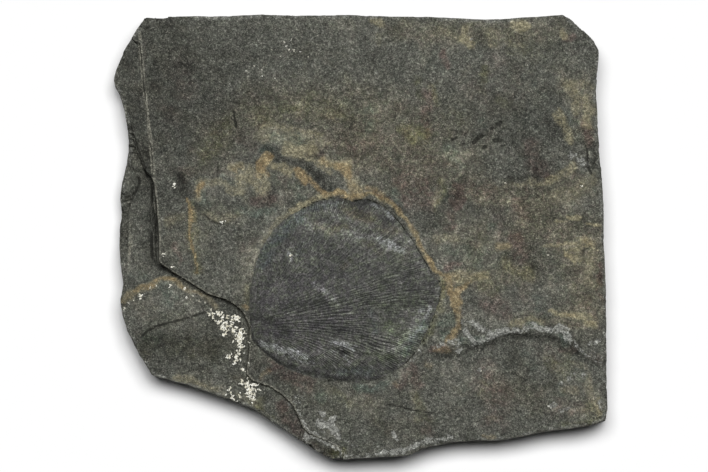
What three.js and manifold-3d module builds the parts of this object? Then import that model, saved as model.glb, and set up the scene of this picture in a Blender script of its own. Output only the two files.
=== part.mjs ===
// A broken slab of dark shale with one round seed-fern leaf pressed into its upper face.
// Millimetres, +Z up. The slab lies on its flat underside at z = 0, with the leaf facing up.
import * as THREE from 'three';
import { mergeVertices } from 'three/addons/utils/BufferGeometryUtils.js';
import Module from 'manifold-3d';

const wasm = await Module();
wasm.setup();

// Driving dimensions
const slabLength = 120;        // left to right
const slabTop = 13;            // height of the upper bedding plane
const surfaceSwell = 0.3;      // how far the upper face rises and falls over a few centimetres
const surfaceStep = 3;       // spacing of the facets on the upper face
const laminaTops = [1.5, 3.2, 4.6, 6.6, 8.1, 10.2, 20];      // tops of the layers in the broken edge
const laminaInsets = [1.1, 0.4, 0.7, 0.15, 0.5, 0.1, 0.25];  // set-back of each layer from the outline
const edgeRoughness = 0.9;     // extra set-back of a layer from place to place
const laminaOverlap = 0.2;     // how far each layer reaches into the one under it

const facetDrop = 0.9;         // the smooth facet starts this far below the upper face
const facetSlope = 0.55;       // and falls this much for each millimetre towards its outer edge
const ledgeDrop = 4.1;         // the lower bedding plane beside the left edge
const shoulderDrop = 3.0;      // the same plane beside the leaf's base, where it rises a little
const cornerDrop = 1.6;        // and at the lower left corner, where a second leaf lies
const footDrop = 7.6;          // the narrow foot at the far left
const lobeRise = 3.0;          // the foot rises into a broken lobe at its upper end
const lipDrop = 3.4;           // the dark lip along the bottom edge
const spallDrop = 0.9;         // a thin flake is missing at the lower right
const spallFade = 16;          // the flake's edge dies out over this length at its left end

const leafRimDrop = 0.6;       // the leaf's margin lies this far below the upper face
const leafGrooveDrop = 0.6;    // and this much further down along its lower side
const leafRise = 1.9;          // its middle stands this far above its upper margin
const leafTuck = 0.35;         // how far the leaf's body reaches under the wall around it
const leafDepth = 2.4;         // how far its body reaches down into the stone
const veinRidges = 42;         // main veins that fan out from the base
const veinHeight = 0.11;
const leafRows = 12;

// Outline of the slab seen from above, clockwise from the upper left corner
const slabOutline = [
    [-52.5, 53.4], [-48.1, 53.2], [-46.7, 53.6], [-33, 53.7], [-24, 54.1], [-14.7, 53.8], [-3.8, 54],
    [7.2, 53.6], [16.9, 53.5], [26.7, 53], [31.1, 52.9], [41.3, 53.4], [49.3, 54.1], [51.3, 52.8],
    [54.5, 49.9], [56.5, 48.1], [57.9, 45.3], [57.6, 41.2], [57.3, 35.8], [57.6, 28.5], [58, 21.2],
    [58.6, 15.1], [59.1, 7.8], [59.2, -3.2], [59.7, -12.9], [59.8, -22.7], [59.8, -34.8], [60.1, -41.7],
    [59.8, -44.6], [57.6, -45.6], [53.5, -46.3], [47.4, -47], [43.7, -47.5], [40.1, -48.5], [36.4, -49.2],
    [32.5, -49.6], [27.9, -49.5], [23, -49.9], [16.9, -51], [13, -52.6], [11.6, -53.2], [4.8, -53.6],
    [-3.8, -54.1], [-7.2, -54.1], [-11.8, -51.4], [-18.4, -47], [-25.7, -42.2], [-30.3, -40.4],
    [-35.5, -38.4], [-41.5, -36.3], [-47.6, -34.5], [-50.8, -33.6], [-53.7, -28.8], [-56.6, -23.4],
    [-57.9, -19], [-58.4, -15.4], [-57.7, -11.5], [-58.5, -6.3], [-58.9, 1.7], [-58.1, 5.9],
    [-58.5, 9.5], [-58, 13.3], [-57.1, 17.1], [-56.4, 20.7], [-56.6, 25.6], [-57.4, 30.5], [-58.6, 34.6], [-59.7, 36.5], [-60.1, 38.5],
    [-59.5, 40.9], [-57.4, 45.6], [-54.5, 50.4],
];

// Left edge of the upper face, from the top of the slab to the bottom
const upperEdge = [
    [-54, 50.2], [-53.6, 45.6], [-52.8, 37.3], [-51.8, 28], [-51, 21.7], [-50.6, 16.3], [-49.8, 8],
    [-49.2, -0.2], [-49.2, -6.2], [-46.4, -8.3], [-41.1, -11.5], [-37.2, -14], [-33.3, -15.2],
    [-30.3, -16.7], [-28.4, -18.8], [-27.3, -21.7], [-27.2, -25.6], [-27.5, -30.5], [-27.9, -33.4],
    [-26.4, -35.1], [-22.1, -36.5], [-19.1, -38.4], [-16.7, -40.9], [-15.2, -43.9], [-14.3, -46.3],
    [-12.8, -48], [-8.9, -49.6], [-5.5, -51.3], [-4.3, -52.4], [-3.5, -56],
];

// Edge between the smooth facet and the ledge below it
const facetEdge = [
    [-50.6, 13.9], [-52.5, 16.3], [-53.5, 18.8], [-54.7, 21.2], [-55.4, 25.3], [-56.6, 28.5],
];

// Edge between the ledge and the narrow foot
const footEdge = [
    [-56.2, 19], [-54, 13.9], [-54.7, 11.5], [-55.7, 9.5], [-56.4, 7.8], [-56.7, 4.1], [-57.1, -4.4],
    [-57.6, -8],
];

// Upper edge of the missing flake, from where it starts at the left to the right-hand side
const spallEdge = [
    [5, -37.5], [12.5, -32.9], [14.5, -28], [18.4, -26.8], [23, -26.3], [31.1, -25.1], [36.9, -23.3],
    [41.8, -23.1], [48.6, -24.4], [51, -26.3], [54.7, -29.2], [66, -31.9],
];

// Margin of the leaf, clockwise from the upper end of its base to the lower end
const leafMargin = [
    [-27.3, -16.1], [-26.9, -11.9], [-26, -7.6], [-24.7, -3.3], [-22.5, 0.2], [-20.1, 3.1], [-17.5, 5.3],
    [-13.9, 7.3], [-10.4, 8.8], [-7.4, 9.6], [-4.6, 9.7], [-1.8, 8.9], [1.4, 9.4], [4, 8.5], [6.8, 6.7],
    [9.6, 3.7], [12.5, -0.3], [14.6, -3.9], [17.5, -8.9], [19.3, -10.6], [19.8, -12.7], [19, -16.5],
    [17.6, -20.4], [15.5, -24.7], [13.3, -28.3], [11.1, -30.8], [7.6, -33.4], [4, -35], [0.4, -35.6],
    [-4.6, -35.3], [-10.4, -34.4], [-15.7, -33], [-20, -30.9], [-22.9, -28.7], [-25.5, -26.2],
];
const leafCentre = [-3.6, -13];
const leafBase = [[-27.5, -17.8], [-26.6, -24.7]];   // upper and lower end of the broad base

const shaleColour = 0x5a5a53;

// Smooth noise between -1 and 1, the same at every run
function latticeValue(i, j) {
    const wave = Math.sin(i * 127.1 + j * 311.7) * 43758.5453;
    return 2 * (wave - Math.floor(wave)) - 1;
}

function roughness(x, y) {
    const i = Math.floor(x);
    const j = Math.floor(y);
    const a = THREE.MathUtils.smoothstep(x - i, 0, 1);
    const b = THREE.MathUtils.smoothstep(y - j, 0, 1);
    const low = THREE.MathUtils.lerp(latticeValue(i, j), latticeValue(i + 1, j), a);
    const high = THREE.MathUtils.lerp(latticeValue(i, j + 1), latticeValue(i + 1, j + 1), a);
    return THREE.MathUtils.lerp(low, high, b);
}

function distanceTo(points, x, y, closed) {
    const here = new THREE.Vector3(x, y, 0);
    const nearest = new THREE.Vector3();
    const last = closed ? points.length : points.length - 1;
    let shortest = Infinity;
    for (let i = 0; i < last; i += 1) {
        const next = points[(i + 1) % points.length];
        const side = new THREE.Line3(new THREE.Vector3(...points[i], 0), new THREE.Vector3(...next, 0));
        side.closestPointToPoint(here, true, nearest);
        shortest = Math.min(shortest, nearest.distanceTo(here));
    }
    return shortest;
}

// Heights of the bedding planes
function upperFace(x, y) {
    const swell = Math.sin(x / 31 + 0.6) * Math.cos(y / 27 - 0.4) + 0.45 * Math.sin(x / 11.3 + y / 14.1);
    return slabTop + surfaceSwell * swell + 0.12 * roughness(x / 3.1, y / 3.7);
}

function facetFace(x, y) {
    const fall = facetSlope * distanceTo(upperEdge, x, y, false);
    return slabTop - facetDrop - fall + 0.2 * roughness(x / 4, y / 5);
}

function lowerFace(x, y) {
    const towardsShoulder = THREE.MathUtils.smoothstep(-y, 6, 13);
    const towardsCorner = THREE.MathUtils.smoothstep(-y, 14, 26);
    const drop = THREE.MathUtils.lerp(
        THREE.MathUtils.lerp(ledgeDrop, shoulderDrop, towardsShoulder), cornerDrop, towardsCorner);
    const grain = THREE.MathUtils.lerp(0.5, 0.18, towardsShoulder) * roughness(x / 2.3, y / 2.9);
    return slabTop - drop + grain;
}

function footFace(x, y) {
    const lobe = lobeRise * THREE.MathUtils.smoothstep(y, 8.5, 12);
    return slabTop - footDrop + lobe + 0.4 * roughness(x / 2, y / 3.1);
}

function lipFace(x, y) {
    return slabTop - lipDrop - 0.5 * distanceTo(upperEdge, x, y, false) + 0.3 * roughness(x / 2.4, y / 2.4);
}

function spallFace(x, y) {
    const open = THREE.MathUtils.smoothstep(x, spallEdge[0][0], spallEdge[0][0] + spallFade);
    return upperFace(x, y) - spallDrop * open + 0.16 * roughness(x / 2.7 + 9, y / 2.7) - 0.02;
}

// Closed solids
function solidOf(geometry) {
    geometry.deleteAttribute('normal');
    geometry.deleteAttribute('uv');
    const merged = mergeVertices(geometry, 1e-4);
    const vertProperties = new Float32Array(merged.attributes.position.array);
    const triVerts = new Uint32Array(merged.index.array);
    return new wasm.Manifold(new wasm.Mesh({ numProp: 3, vertProperties, triVerts }));
}

function prism(points, bottom, top) {
    const shape = new THREE.Shape(points.map(([x, y]) => new THREE.Vector2(x, y)));
    const geometry = new THREE.ExtrudeGeometry(shape, { depth: top - bottom, bevelEnabled: false });
    geometry.translate(0, 0, bottom);
    return solidOf(geometry);
}

// A block from the given floor up to the face whose height the function gives
function blockUnder(face, [left, bottom, right, top], step, floor) {
    const across = Math.round((right - left) / step);
    const along = Math.round((top - bottom) / step);
    const geometry = new THREE.BoxGeometry(right - left, top - bottom, 2, across, along, 1);
    geometry.translate((left + right) / 2, (bottom + top) / 2, 0);
    const position = geometry.attributes.position;
    for (let i = 0; i < position.count; i += 1) {
        const isTop = position.getZ(i) > 0;
        position.setZ(i, isTop ? face(position.getX(i), position.getY(i)) : floor);
    }
    return solidOf(geometry);
}

// What is missing above a face, inside the given outline
function missing(points, face, step) {
    const box = new THREE.Box2().setFromPoints(points.map(([x, y]) => new THREE.Vector2(x, y)));
    const margin = 1;
    const frame = [box.min.x - margin, box.min.y - margin, box.max.x + margin, box.max.y + margin];
    return prism(points, -3, slabTop + 12).subtract(blockUnder(face, frame, step, -5));
}

// The broken edge: a stack of splitting layers, each with its own outline
function setBack(points, layer) {
    const middle = points.length;
    return points.map(([x, y], i) => {
        const before = points[(i + middle - 1) % middle];
        const after = points[(i + 1) % middle];
        const tangent = new THREE.Vector2(after[0] - before[0], after[1] - before[1]).normalize();
        const unevenness = edgeRoughness * Math.max(0, roughness(x / 7 + 5 * layer, y / 7 - 3 * layer));
        const inset = laminaInsets[layer] + unevenness;
        return [x + tangent.y * inset, y - tangent.x * inset];
    });
}

function brokenEdge() {
    let stack = null;
    laminaTops.forEach((top, layer) => {
        const bottom = layer === 0 ? 0 : laminaTops[layer - 1] - laminaOverlap;
        const lamina = prism(setBack(slabOutline, layer), bottom, top);
        stack = stack === null ? lamina : stack.add(lamina);
    });
    return stack;
}

// The leaf: columns follow the veins from the broad base to the margin
function along(points, share) {
    const knots = points.map(([x, y]) => new THREE.Vector3(x, y, 0));
    return new THREE.CatmullRomCurve3(knots, false, 'centripetal').getPointAt(share);
}

function leafPoint(across, out) {
    const [upper, lower] = leafBase;
    const start = new THREE.Vector3(...upper, 0).lerp(new THREE.Vector3(...lower, 0), across);
    const end = along(leafMargin, across);
    const axisEnd = along(leafMargin, 0.5);
    const bend = start.clone().lerp(axisEnd, 0.34).lerp(end, 0.33);
    const sideways = Math.abs(2 * across - 1);
    const straight = start.clone().lerp(end, 0.5);
    const control = bend.lerp(straight, sideways ** 3);
    return new THREE.QuadraticBezierCurve3(start, control, end).getPoint(out);
}

function leafShare(point) {
    const away = Math.hypot(point.x - leafCentre[0], point.y - leafCentre[1]);
    const toMargin = distanceTo(leafMargin, point.x, point.y, true);
    return away / (away + toMargin);
}

function leafFace(point, across, out) {
    const dome = 1 - leafShare(point) ** 2.6;
    const vein = Math.cos(2 * Math.PI * veinRidges * across) * THREE.MathUtils.smoothstep(out, 0.05, 0.5);
    const lowSide = THREE.MathUtils.smoothstep(leafCentre[1] - point.y, 4, 16);
    const rim = slabTop - leafRimDrop - leafGrooveDrop * lowSide * (1 - dome);
    return rim + leafRise * dome + veinHeight * vein;
}

function leafBody() {
    const columns = 2 * veinRidges;
    const geometry = new THREE.BoxGeometry(1, 1, 2, columns, leafRows, 1);
    const position = geometry.attributes.position;
    for (let i = 0; i < position.count; i += 1) {
        const across = position.getX(i) + 0.5;
        const out = position.getY(i) + 0.5;
        const point = leafPoint(across, out);
        const height = position.getZ(i) > 0 ? leafFace(point, across, out) : slabTop - leafDepth - 1;
        const away = new THREE.Vector2(point.x - leafCentre[0], point.y - leafCentre[1]);
        away.setLength(away.length() + leafTuck);
        position.setXYZ(i, leafCentre[0] + away.x, leafCentre[1] + away.y, height);
    }
    return solidOf(geometry);
}

function buildSlab() {
    const beyond = 70;
    const cornerChip = [[-46.9, beyond], [-46.9, 53], [-48.4, 51.9], [-51.3, 50.2]];
    const facetOverrun = facetEdge.map(([x, y]) => [x - 0.8, y - 1.2]);   // the ledge is cut deeper here
    const facetOutline = [
        ...cornerChip, ...upperEdge.slice(0, 6), ...facetOverrun, [-beyond, 28], [-beyond, beyond],
    ];
    const lowerOutline = [
        ...facetEdge.slice().reverse(), ...upperEdge.slice(6), [-3.5, -beyond], [-beyond, -beyond],
        [-beyond, 31],
    ];
    const footOutline = [...footEdge, [-beyond, -10], [-beyond, 24]];
    const lipOutline = [...upperEdge.slice(24), [-3.5, -beyond], [-16, -beyond]];
    const spallOutline = [...spallEdge, [66, -beyond], [5, -beyond]];
    const leafOutline = [...leafMargin, leafBase[1], leafBase[0]];

    let slab = brokenEdge().intersect(blockUnder(upperFace, [-62, -56, 62, 56], surfaceStep, -2));
    slab = slab.subtract(missing(spallOutline, spallFace, 2.2));
    slab = slab.subtract(missing(facetOutline, facetFace, 3));
    slab = slab.subtract(missing(lowerOutline, lowerFace, 1.8));
    slab = slab.subtract(missing(footOutline, footFace, 2.2));
    slab = slab.subtract(missing(lipOutline, lipFace, 1.8));
    slab = slab.subtract(prism(leafOutline, slabTop - leafDepth, slabTop + 12));
    return slab.add(leafBody());
}

function geometryOf(solid) {
    const mesh = solid.getMesh();
    const geometry = new THREE.BufferGeometry();
    geometry.setAttribute('position', new THREE.BufferAttribute(new Float32Array(mesh.vertProperties), 3));
    geometry.setIndex(new THREE.BufferAttribute(new Uint32Array(mesh.triVerts), 1));
    geometry.computeVertexNormals();
    return geometry;
}

const shale = new THREE.MeshStandardMaterial({ color: shaleColour, roughness: 0.82, metalness: 0 });
const slab = new THREE.Mesh(geometryOf(buildSlab()), shale);
slab.name = 'shale_slab';

const plate = new THREE.Group();
plate.add(slab);

export default plate;
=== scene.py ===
import math
import random

import bmesh
import bpy
import numpy as np
from mathutils import Matrix, Vector
from mathutils.bvhtree import BVHTree


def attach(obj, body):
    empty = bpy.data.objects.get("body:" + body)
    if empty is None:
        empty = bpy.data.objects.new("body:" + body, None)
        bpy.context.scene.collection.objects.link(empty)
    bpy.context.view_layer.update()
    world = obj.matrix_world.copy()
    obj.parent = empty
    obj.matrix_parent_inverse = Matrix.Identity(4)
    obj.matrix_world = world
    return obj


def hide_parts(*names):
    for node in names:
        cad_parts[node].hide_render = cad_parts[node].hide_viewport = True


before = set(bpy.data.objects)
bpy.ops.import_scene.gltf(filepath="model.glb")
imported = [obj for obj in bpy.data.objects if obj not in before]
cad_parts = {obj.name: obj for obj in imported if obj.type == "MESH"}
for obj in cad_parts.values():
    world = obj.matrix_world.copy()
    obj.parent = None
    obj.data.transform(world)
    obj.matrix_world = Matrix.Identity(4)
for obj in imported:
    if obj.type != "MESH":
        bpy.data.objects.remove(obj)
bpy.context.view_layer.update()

# Plan coordinates are millimetres in the part's own frame, as in its source.
mm = 0.001
slabTop = 13.0
beyond = 70.0

slabOutline = [
    (-52.5, 53.4), (-48.1, 53.2), (-46.7, 53.6), (-33, 53.7), (-24, 54.1), (-14.7, 53.8), (-3.8, 54),
    (7.2, 53.6), (16.9, 53.5), (26.7, 53), (31.1, 52.9), (41.3, 53.4), (49.3, 54.1), (51.3, 52.8),
    (54.5, 49.9), (56.5, 48.1), (57.9, 45.3), (57.6, 41.2), (57.3, 35.8), (57.6, 28.5), (58, 21.2),
    (58.6, 15.1), (59.1, 7.8), (59.2, -3.2), (59.7, -12.9), (59.8, -22.7), (59.8, -34.8), (60.1, -41.7),
    (59.8, -44.6), (57.6, -45.6), (53.5, -46.3), (47.4, -47), (43.7, -47.5), (40.1, -48.5), (36.4, -49.2),
    (32.5, -49.6), (27.9, -49.5), (23, -49.9), (16.9, -51), (13, -52.6), (11.6, -53.2), (4.8, -53.6),
    (-3.8, -54.1), (-7.2, -54.1), (-11.8, -51.4), (-18.4, -47), (-25.7, -42.2), (-30.3, -40.4),
    (-35.5, -38.4), (-41.5, -36.3), (-47.6, -34.5), (-50.8, -33.6), (-53.7, -28.8), (-56.6, -23.4),
    (-57.9, -19), (-58.4, -15.4), (-57.7, -11.5), (-58.5, -6.3), (-58.9, 1.7), (-58.1, 5.9),
    (-58.5, 9.5), (-58, 13.3), (-57.1, 17.1), (-56.4, 20.7), (-56.6, 25.6), (-57.4, 30.5),
    (-58.6, 34.6), (-59.7, 36.5), (-60.1, 38.5), (-59.5, 40.9), (-57.4, 45.6), (-54.5, 50.4),
]
upperEdge = [
    (-54, 50.2), (-53.6, 45.6), (-52.8, 37.3), (-51.8, 28), (-51, 21.7), (-50.6, 16.3), (-49.8, 8),
    (-49.2, -0.2), (-49.2, -6.2), (-46.4, -8.3), (-41.1, -11.5), (-37.2, -14), (-33.3, -15.2),
    (-30.3, -16.7), (-28.4, -18.8), (-27.3, -21.7), (-27.2, -25.6), (-27.5, -30.5), (-27.9, -33.4),
    (-26.4, -35.1), (-22.1, -36.5), (-19.1, -38.4), (-16.7, -40.9), (-15.2, -43.9), (-14.3, -46.3),
    (-12.8, -48), (-8.9, -49.6), (-5.5, -51.3), (-4.3, -52.4), (-3.5, -56),
]
cornerChip = [(-46.9, beyond), (-46.9, 53), (-48.4, 51.9), (-51.3, 50.2)]
facetEdge = [(-50.6, 13.9), (-52.5, 16.3), (-53.5, 18.8), (-54.7, 21.2), (-55.4, 25.3), (-56.6, 28.5)]
footEdge = [
    (-56.2, 19), (-54, 13.9), (-54.7, 11.5), (-55.7, 9.5), (-56.4, 7.8), (-56.7, 4.1), (-57.1, -4.4),
    (-57.6, -8),
]
flakeEdge = [
    (5, -37.5), (12.5, -32.9), (14.5, -28), (18.4, -26.8), (23, -26.3), (31.1, -25.1), (36.9, -23.3),
    (41.8, -23.1), (48.6, -24.4), (51, -26.3), (54.7, -29.2), (66, -31.9),
]
leafMargin = [
    (-27.3, -16.1), (-26.9, -11.9), (-26, -7.6), (-24.7, -3.3), (-22.5, 0.2), (-20.1, 3.1), (-17.5, 5.3),
    (-13.9, 7.3), (-10.4, 8.8), (-7.4, 9.6), (-4.6, 9.7), (-1.8, 8.9), (1.4, 9.4), (4, 8.5), (6.8, 6.7),
    (9.6, 3.7), (12.5, -0.3), (14.6, -3.9), (17.5, -8.9), (19.3, -10.6), (19.8, -12.7), (19, -16.5),
    (17.6, -20.4), (15.5, -24.7), (13.3, -28.3), (11.1, -30.8), (7.6, -33.4), (4, -35), (0.4, -35.6),
    (-4.6, -35.3), (-10.4, -34.4), (-15.7, -33), (-20, -30.9), (-22.9, -28.7), (-25.5, -26.2),
]
leafBase = [(-27.5, -17.8), (-26.6, -24.7)]
leafCentre = (-3.6, -13.0)
leafOutline = leafMargin + [leafBase[1], leafBase[0]]

# Drops are millimetres under slabTop, slopes millimetres for each millimetre from upperEdge
faces = {
    "facetDrop": 0.9,
    "facetSlope": 0.55,
    "ledgeDrop": 4.1,
    "shoulderRise": 1.1,        # the ledge's rise towards the lower-left fragment
    "fragmentDrop": 1.6,
    "footDrop": 7.6,
    "footUpperRise": 3.0,       # the foot's broken lobe at its upper end
    "footLowerRise": 3.2,       # where the foot meets the ledge at its lower end
    "lipDrop": 0.5,
    "lipSlope": 0.4,
    "flakeDrop": 0.9,           # the thin flake missing at the lower right
    "flakeFade": 16,            # length over which its edge opens
    "leafDrop": 0.6,
    "leafLowSide": 0.6,         # further drop at the leaf's lower margin
    "leafDome": 1.9,            # the rise of the leaf's middle
    "domePower": 2.6,
}

facetOutline = (cornerChip + upperEdge[:6] + [(x - 0.8, y - 1.2) for x, y in facetEdge]
                + [(-beyond, 28), (-beyond, beyond)])
lowerOutline = (facetEdge[::-1] + upperEdge[6:] + [(-3.5, -beyond), (-beyond, -beyond), (-beyond, 31)])
footOutline = footEdge + [(-beyond, -10), (-beyond, 24)]
lipOutline = upperEdge[24:] + [(-3.5, -beyond), (-16, -beyond)]
flakeOutline = flakeEdge + [(66, -beyond), (5, -beyond)]


# Shape helpers: smooth noise, distances in plan, heights of the bedding planes

def smooth(value, low, high):
    share = np.clip((value - low) / (high - low), 0, 1)
    return share * share * (3 - 2 * share)


def latticeValue(i, j):
    wave = np.sin(i * 127.1 + j * 311.7) * 43758.5453
    return 2 * (wave - np.floor(wave)) - 1


def roughness(x, y):
    i, j = np.floor(x), np.floor(y)
    a, b = smooth(x - i, 0, 1), smooth(y - j, 0, 1)
    low = latticeValue(i, j) * (1 - a) + latticeValue(i + 1, j) * a
    high = latticeValue(i, j + 1) * (1 - a) + latticeValue(i + 1, j + 1) * a
    return low * (1 - b) + high * b


def fractal(x, y, octaves=3):
    total = 0
    for k in range(octaves):
        total = total + roughness(x * 2 ** k + 17.3 * k, y * 2 ** k - 9.1 * k) / 2 ** k
    return total / 1.5


def terraced(value, levels, sharp=0.12):
    scaled = value * levels
    whole = np.floor(scaled)
    return (whole + smooth(scaled - whole, 0.5 - sharp, 0.5 + sharp)) / levels


def distanceTo(points, x, y, closed=False):
    shortest = np.full(np.shape(x), 1e9)
    ends = list(zip(points, points[1:] + points[:1]))
    for (ax, ay), (bx, by) in ends if closed else ends[:-1]:
        dx, dy = bx - ax, by - ay
        share = np.clip(((x - ax) * dx + (y - ay) * dy) / (dx * dx + dy * dy), 0, 1)
        shortest = np.minimum(shortest, np.hypot(x - ax - share * dx, y - ay - share * dy))
    return shortest


def nearestOn(points, x, y):
    best, px, py = np.full(np.shape(x), 1e9), np.array(x), np.array(y)
    for (ax, ay), (bx, by) in zip(points, points[1:] + points[:1]):
        dx, dy = bx - ax, by - ay
        share = np.clip(((x - ax) * dx + (y - ay) * dy) / (dx * dx + dy * dy), 0, 1)
        qx, qy = ax + share * dx, ay + share * dy
        away = np.hypot(x - qx, y - qy)
        nearer = away < best
        best, px, py = np.where(nearer, away, best), np.where(nearer, qx, px), np.where(nearer, qy, py)
    return px, py


def inside(points, x, y):
    crossings = np.zeros(np.shape(x), int)
    for (ax, ay), (bx, by) in zip(points, points[1:] + points[:1]):
        spans = (ay > y) != (by > y)
        at = ax + (y - ay) * (bx - ax) / (by - ay if by != ay else 1e-9)
        crossings += spans & (x < at)
    return crossings % 2 == 1


def upperFace(x, y):
    swell = np.sin(x / 31 + 0.6) * np.cos(y / 27 - 0.4) + 0.45 * np.sin(x / 11.3 + y / 14.1)
    return slabTop + 0.3 * swell + 0.12 * roughness(x / 3.1, y / 3.7)


def facetFace(x, y):
    fall = faces["facetSlope"] * distanceTo(upperEdge, x, y)
    return slabTop - faces["facetDrop"] - fall + 0.2 * roughness(x / 4, y / 5)


def lowerFace(x, y):
    towardsShoulder = smooth(-y, 6, 13)
    towardsFragment = smooth(-y, 14, 26)
    ledge = faces["ledgeDrop"] - faces["shoulderRise"] * towardsShoulder
    drop = ledge * (1 - towardsFragment) + faces["fragmentDrop"] * towardsFragment
    grain = (0.5 - 0.32 * towardsShoulder) * roughness(x / 2.3, y / 2.9)
    return slabTop - drop + grain


def footFace(x, y):
    rise = faces["footUpperRise"] * smooth(y, 8.5, 12) + faces["footLowerRise"] * smooth(-y, 0, 7)
    return slabTop - faces["footDrop"] + rise + 0.4 * roughness(x / 2, y / 3.1)


def lipFace(x, y):
    fall = faces["lipSlope"] * distanceTo(upperEdge, x, y)
    return slabTop - faces["lipDrop"] - fall + 0.2 * roughness(x / 2.4, y / 2.4)


def flakeOpening(x):
    # The missing flake's edge starts from nothing at its left end
    return smooth(x, flakeEdge[0][0], flakeEdge[0][0] + faces["flakeFade"])


def flakeFace(x, y):
    drop = faces["flakeDrop"] * flakeOpening(x)
    return upperFace(x, y) - drop + 0.16 * roughness(x / 2.7 + 9, y / 2.7) - 0.02


def leafFace(x, y):
    away = np.hypot(x - leafCentre[0], y - leafCentre[1])
    share = away / (away + distanceTo(leafMargin, x, y, True))
    dome = 1 - share ** faces["domePower"]
    lowSide = smooth(leafCentre[1] - y, 4, 16)
    fall = faces["leafLowSide"] * lowSide * (1 - dome)
    return slabTop - faces["leafDrop"] - fall + faces["leafDome"] * dome


def strokeMask(strokes, x, y, stray=0.0, soft=1.0):
    # 1 along each stroke, falling to 0 outside its half width; stray bends its outline
    u = x + stray * fractal(x / 2.6 + 31, y / 2.6)
    v = y + stray * fractal(x / 2.6, y / 2.6 + 57)
    mask = np.zeros(np.shape(x))
    for points, halfWidth, strength in strokes:
        away = distanceTo(points, u, v)
        near, far = halfWidth * (1.25 - 0.95 * soft), halfWidth * (1.25 + 0.95 * soft) + 0.25
        mask = np.maximum(mask, strength * (1 - smooth(away, near, far)))
    return mask


# Mesh helpers

def readVertices(mesh):
    co = np.empty(len(mesh.vertices) * 3, np.float32)
    mesh.vertices.foreach_get("co", co)
    return co.reshape(-1, 3).astype(float) / mm


def writeVertices(mesh, points):
    mesh.vertices.foreach_set("co", (points * mm).astype(np.float32).ravel())
    mesh.update()


def readNormals(mesh):
    normals = np.empty(len(mesh.vertices) * 3, np.float32)
    mesh.vertex_normals.foreach_get("vector", normals)
    return normals.reshape(-1, 3).astype(float)


def storeMask(mesh, name, values):
    layer = mesh.attributes.new(name, "FLOAT", "POINT")
    layer.data.foreach_set("value", np.asarray(values, np.float32))


def newPiece(name, mesh):
    piece = bpy.data.objects.new(name, mesh)
    bpy.context.scene.collection.objects.link(piece)
    return piece


def bakeModifiers(piece):
    graph = bpy.context.evaluated_depsgraph_get()
    mesh = bpy.data.meshes.new_from_object(piece.evaluated_get(graph))
    piece.modifiers.clear()
    piece.data = mesh
    return mesh


def setSmooth(mesh):
    mesh.polygons.foreach_set("use_smooth", [True] * len(mesh.polygons))


# The slab

slabLook = {
    "voxel": 0.5,               # mm, size of the facets after remeshing
    "quickVoxel": 0.9,
    "grain": 0.045,             # mm, height of the finest relief on the split faces
    "terrace": 0.34,            # mm, rise over the thin splitting steps of the upper face
    "streaks": 0.05,
    "scabs": 0.16,              # mm, height of the thin scabs left on parts of the upper face
    "slivers": 0.55,            # mm, height of the splinters on the broken lower faces
    "shoulder": 0.2,            # mm, height of the steps where the ledge joins the fragment
    "crackDepth": 0.35,
    "pitDepth": 0.45,
    "grooveDepth": 0.5,
    "ridgeHeight": 0.35,
    "rimWear": 0.75,            # mm, how much the slab's rim is worn down
    "edgeWear": 0.3,            # mm, the same along the broken upper edge
    "crevice": 2.2,             # mm, depth of the gap at the foot of the left wall
    "flakeStep": 0.6,           # mm, height of the missing flake's edge
    "flakeBand": 1.6,           # mm, reach of that step to either side of the edge
    "layerThickness": 0.9,      # mm, thin layers seen in the broken sides
    "layerDepth": 0.4,          # mm, how far those layers are set back
    "nicks": 0.45,              # mm, depth of the nicks in the outer wall
    "swell": 0.27,              # mm, how far the layers in front stand out past the plain outline
    "dishDepth": 0.7,           # mm, how far the stone lies under the leaf's own piece
    "hollow": 0.35,             # mm, shallow hollows in the underside
    "undersideKeep": 0.12,      # share of the underside's facets that is kept
    "strokeEdges": {            # mm that each kind's outline strays, and how soft it is
        "light": (1.3, 0.7), "darkStoneAndShade": (0.8, 0.7), "warm": (1.8, 1), "olive": (1.2, 1), "mauve": (1.2, 1),
        "teal": (1.2, 1), "ochre": (0.9, 0.7), "rust": (0.7, 0.65), "chalk": (0.3, 0.5),
        "crack": (0.15, 1), "pits": (0.3, 1),
    },
}
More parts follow.
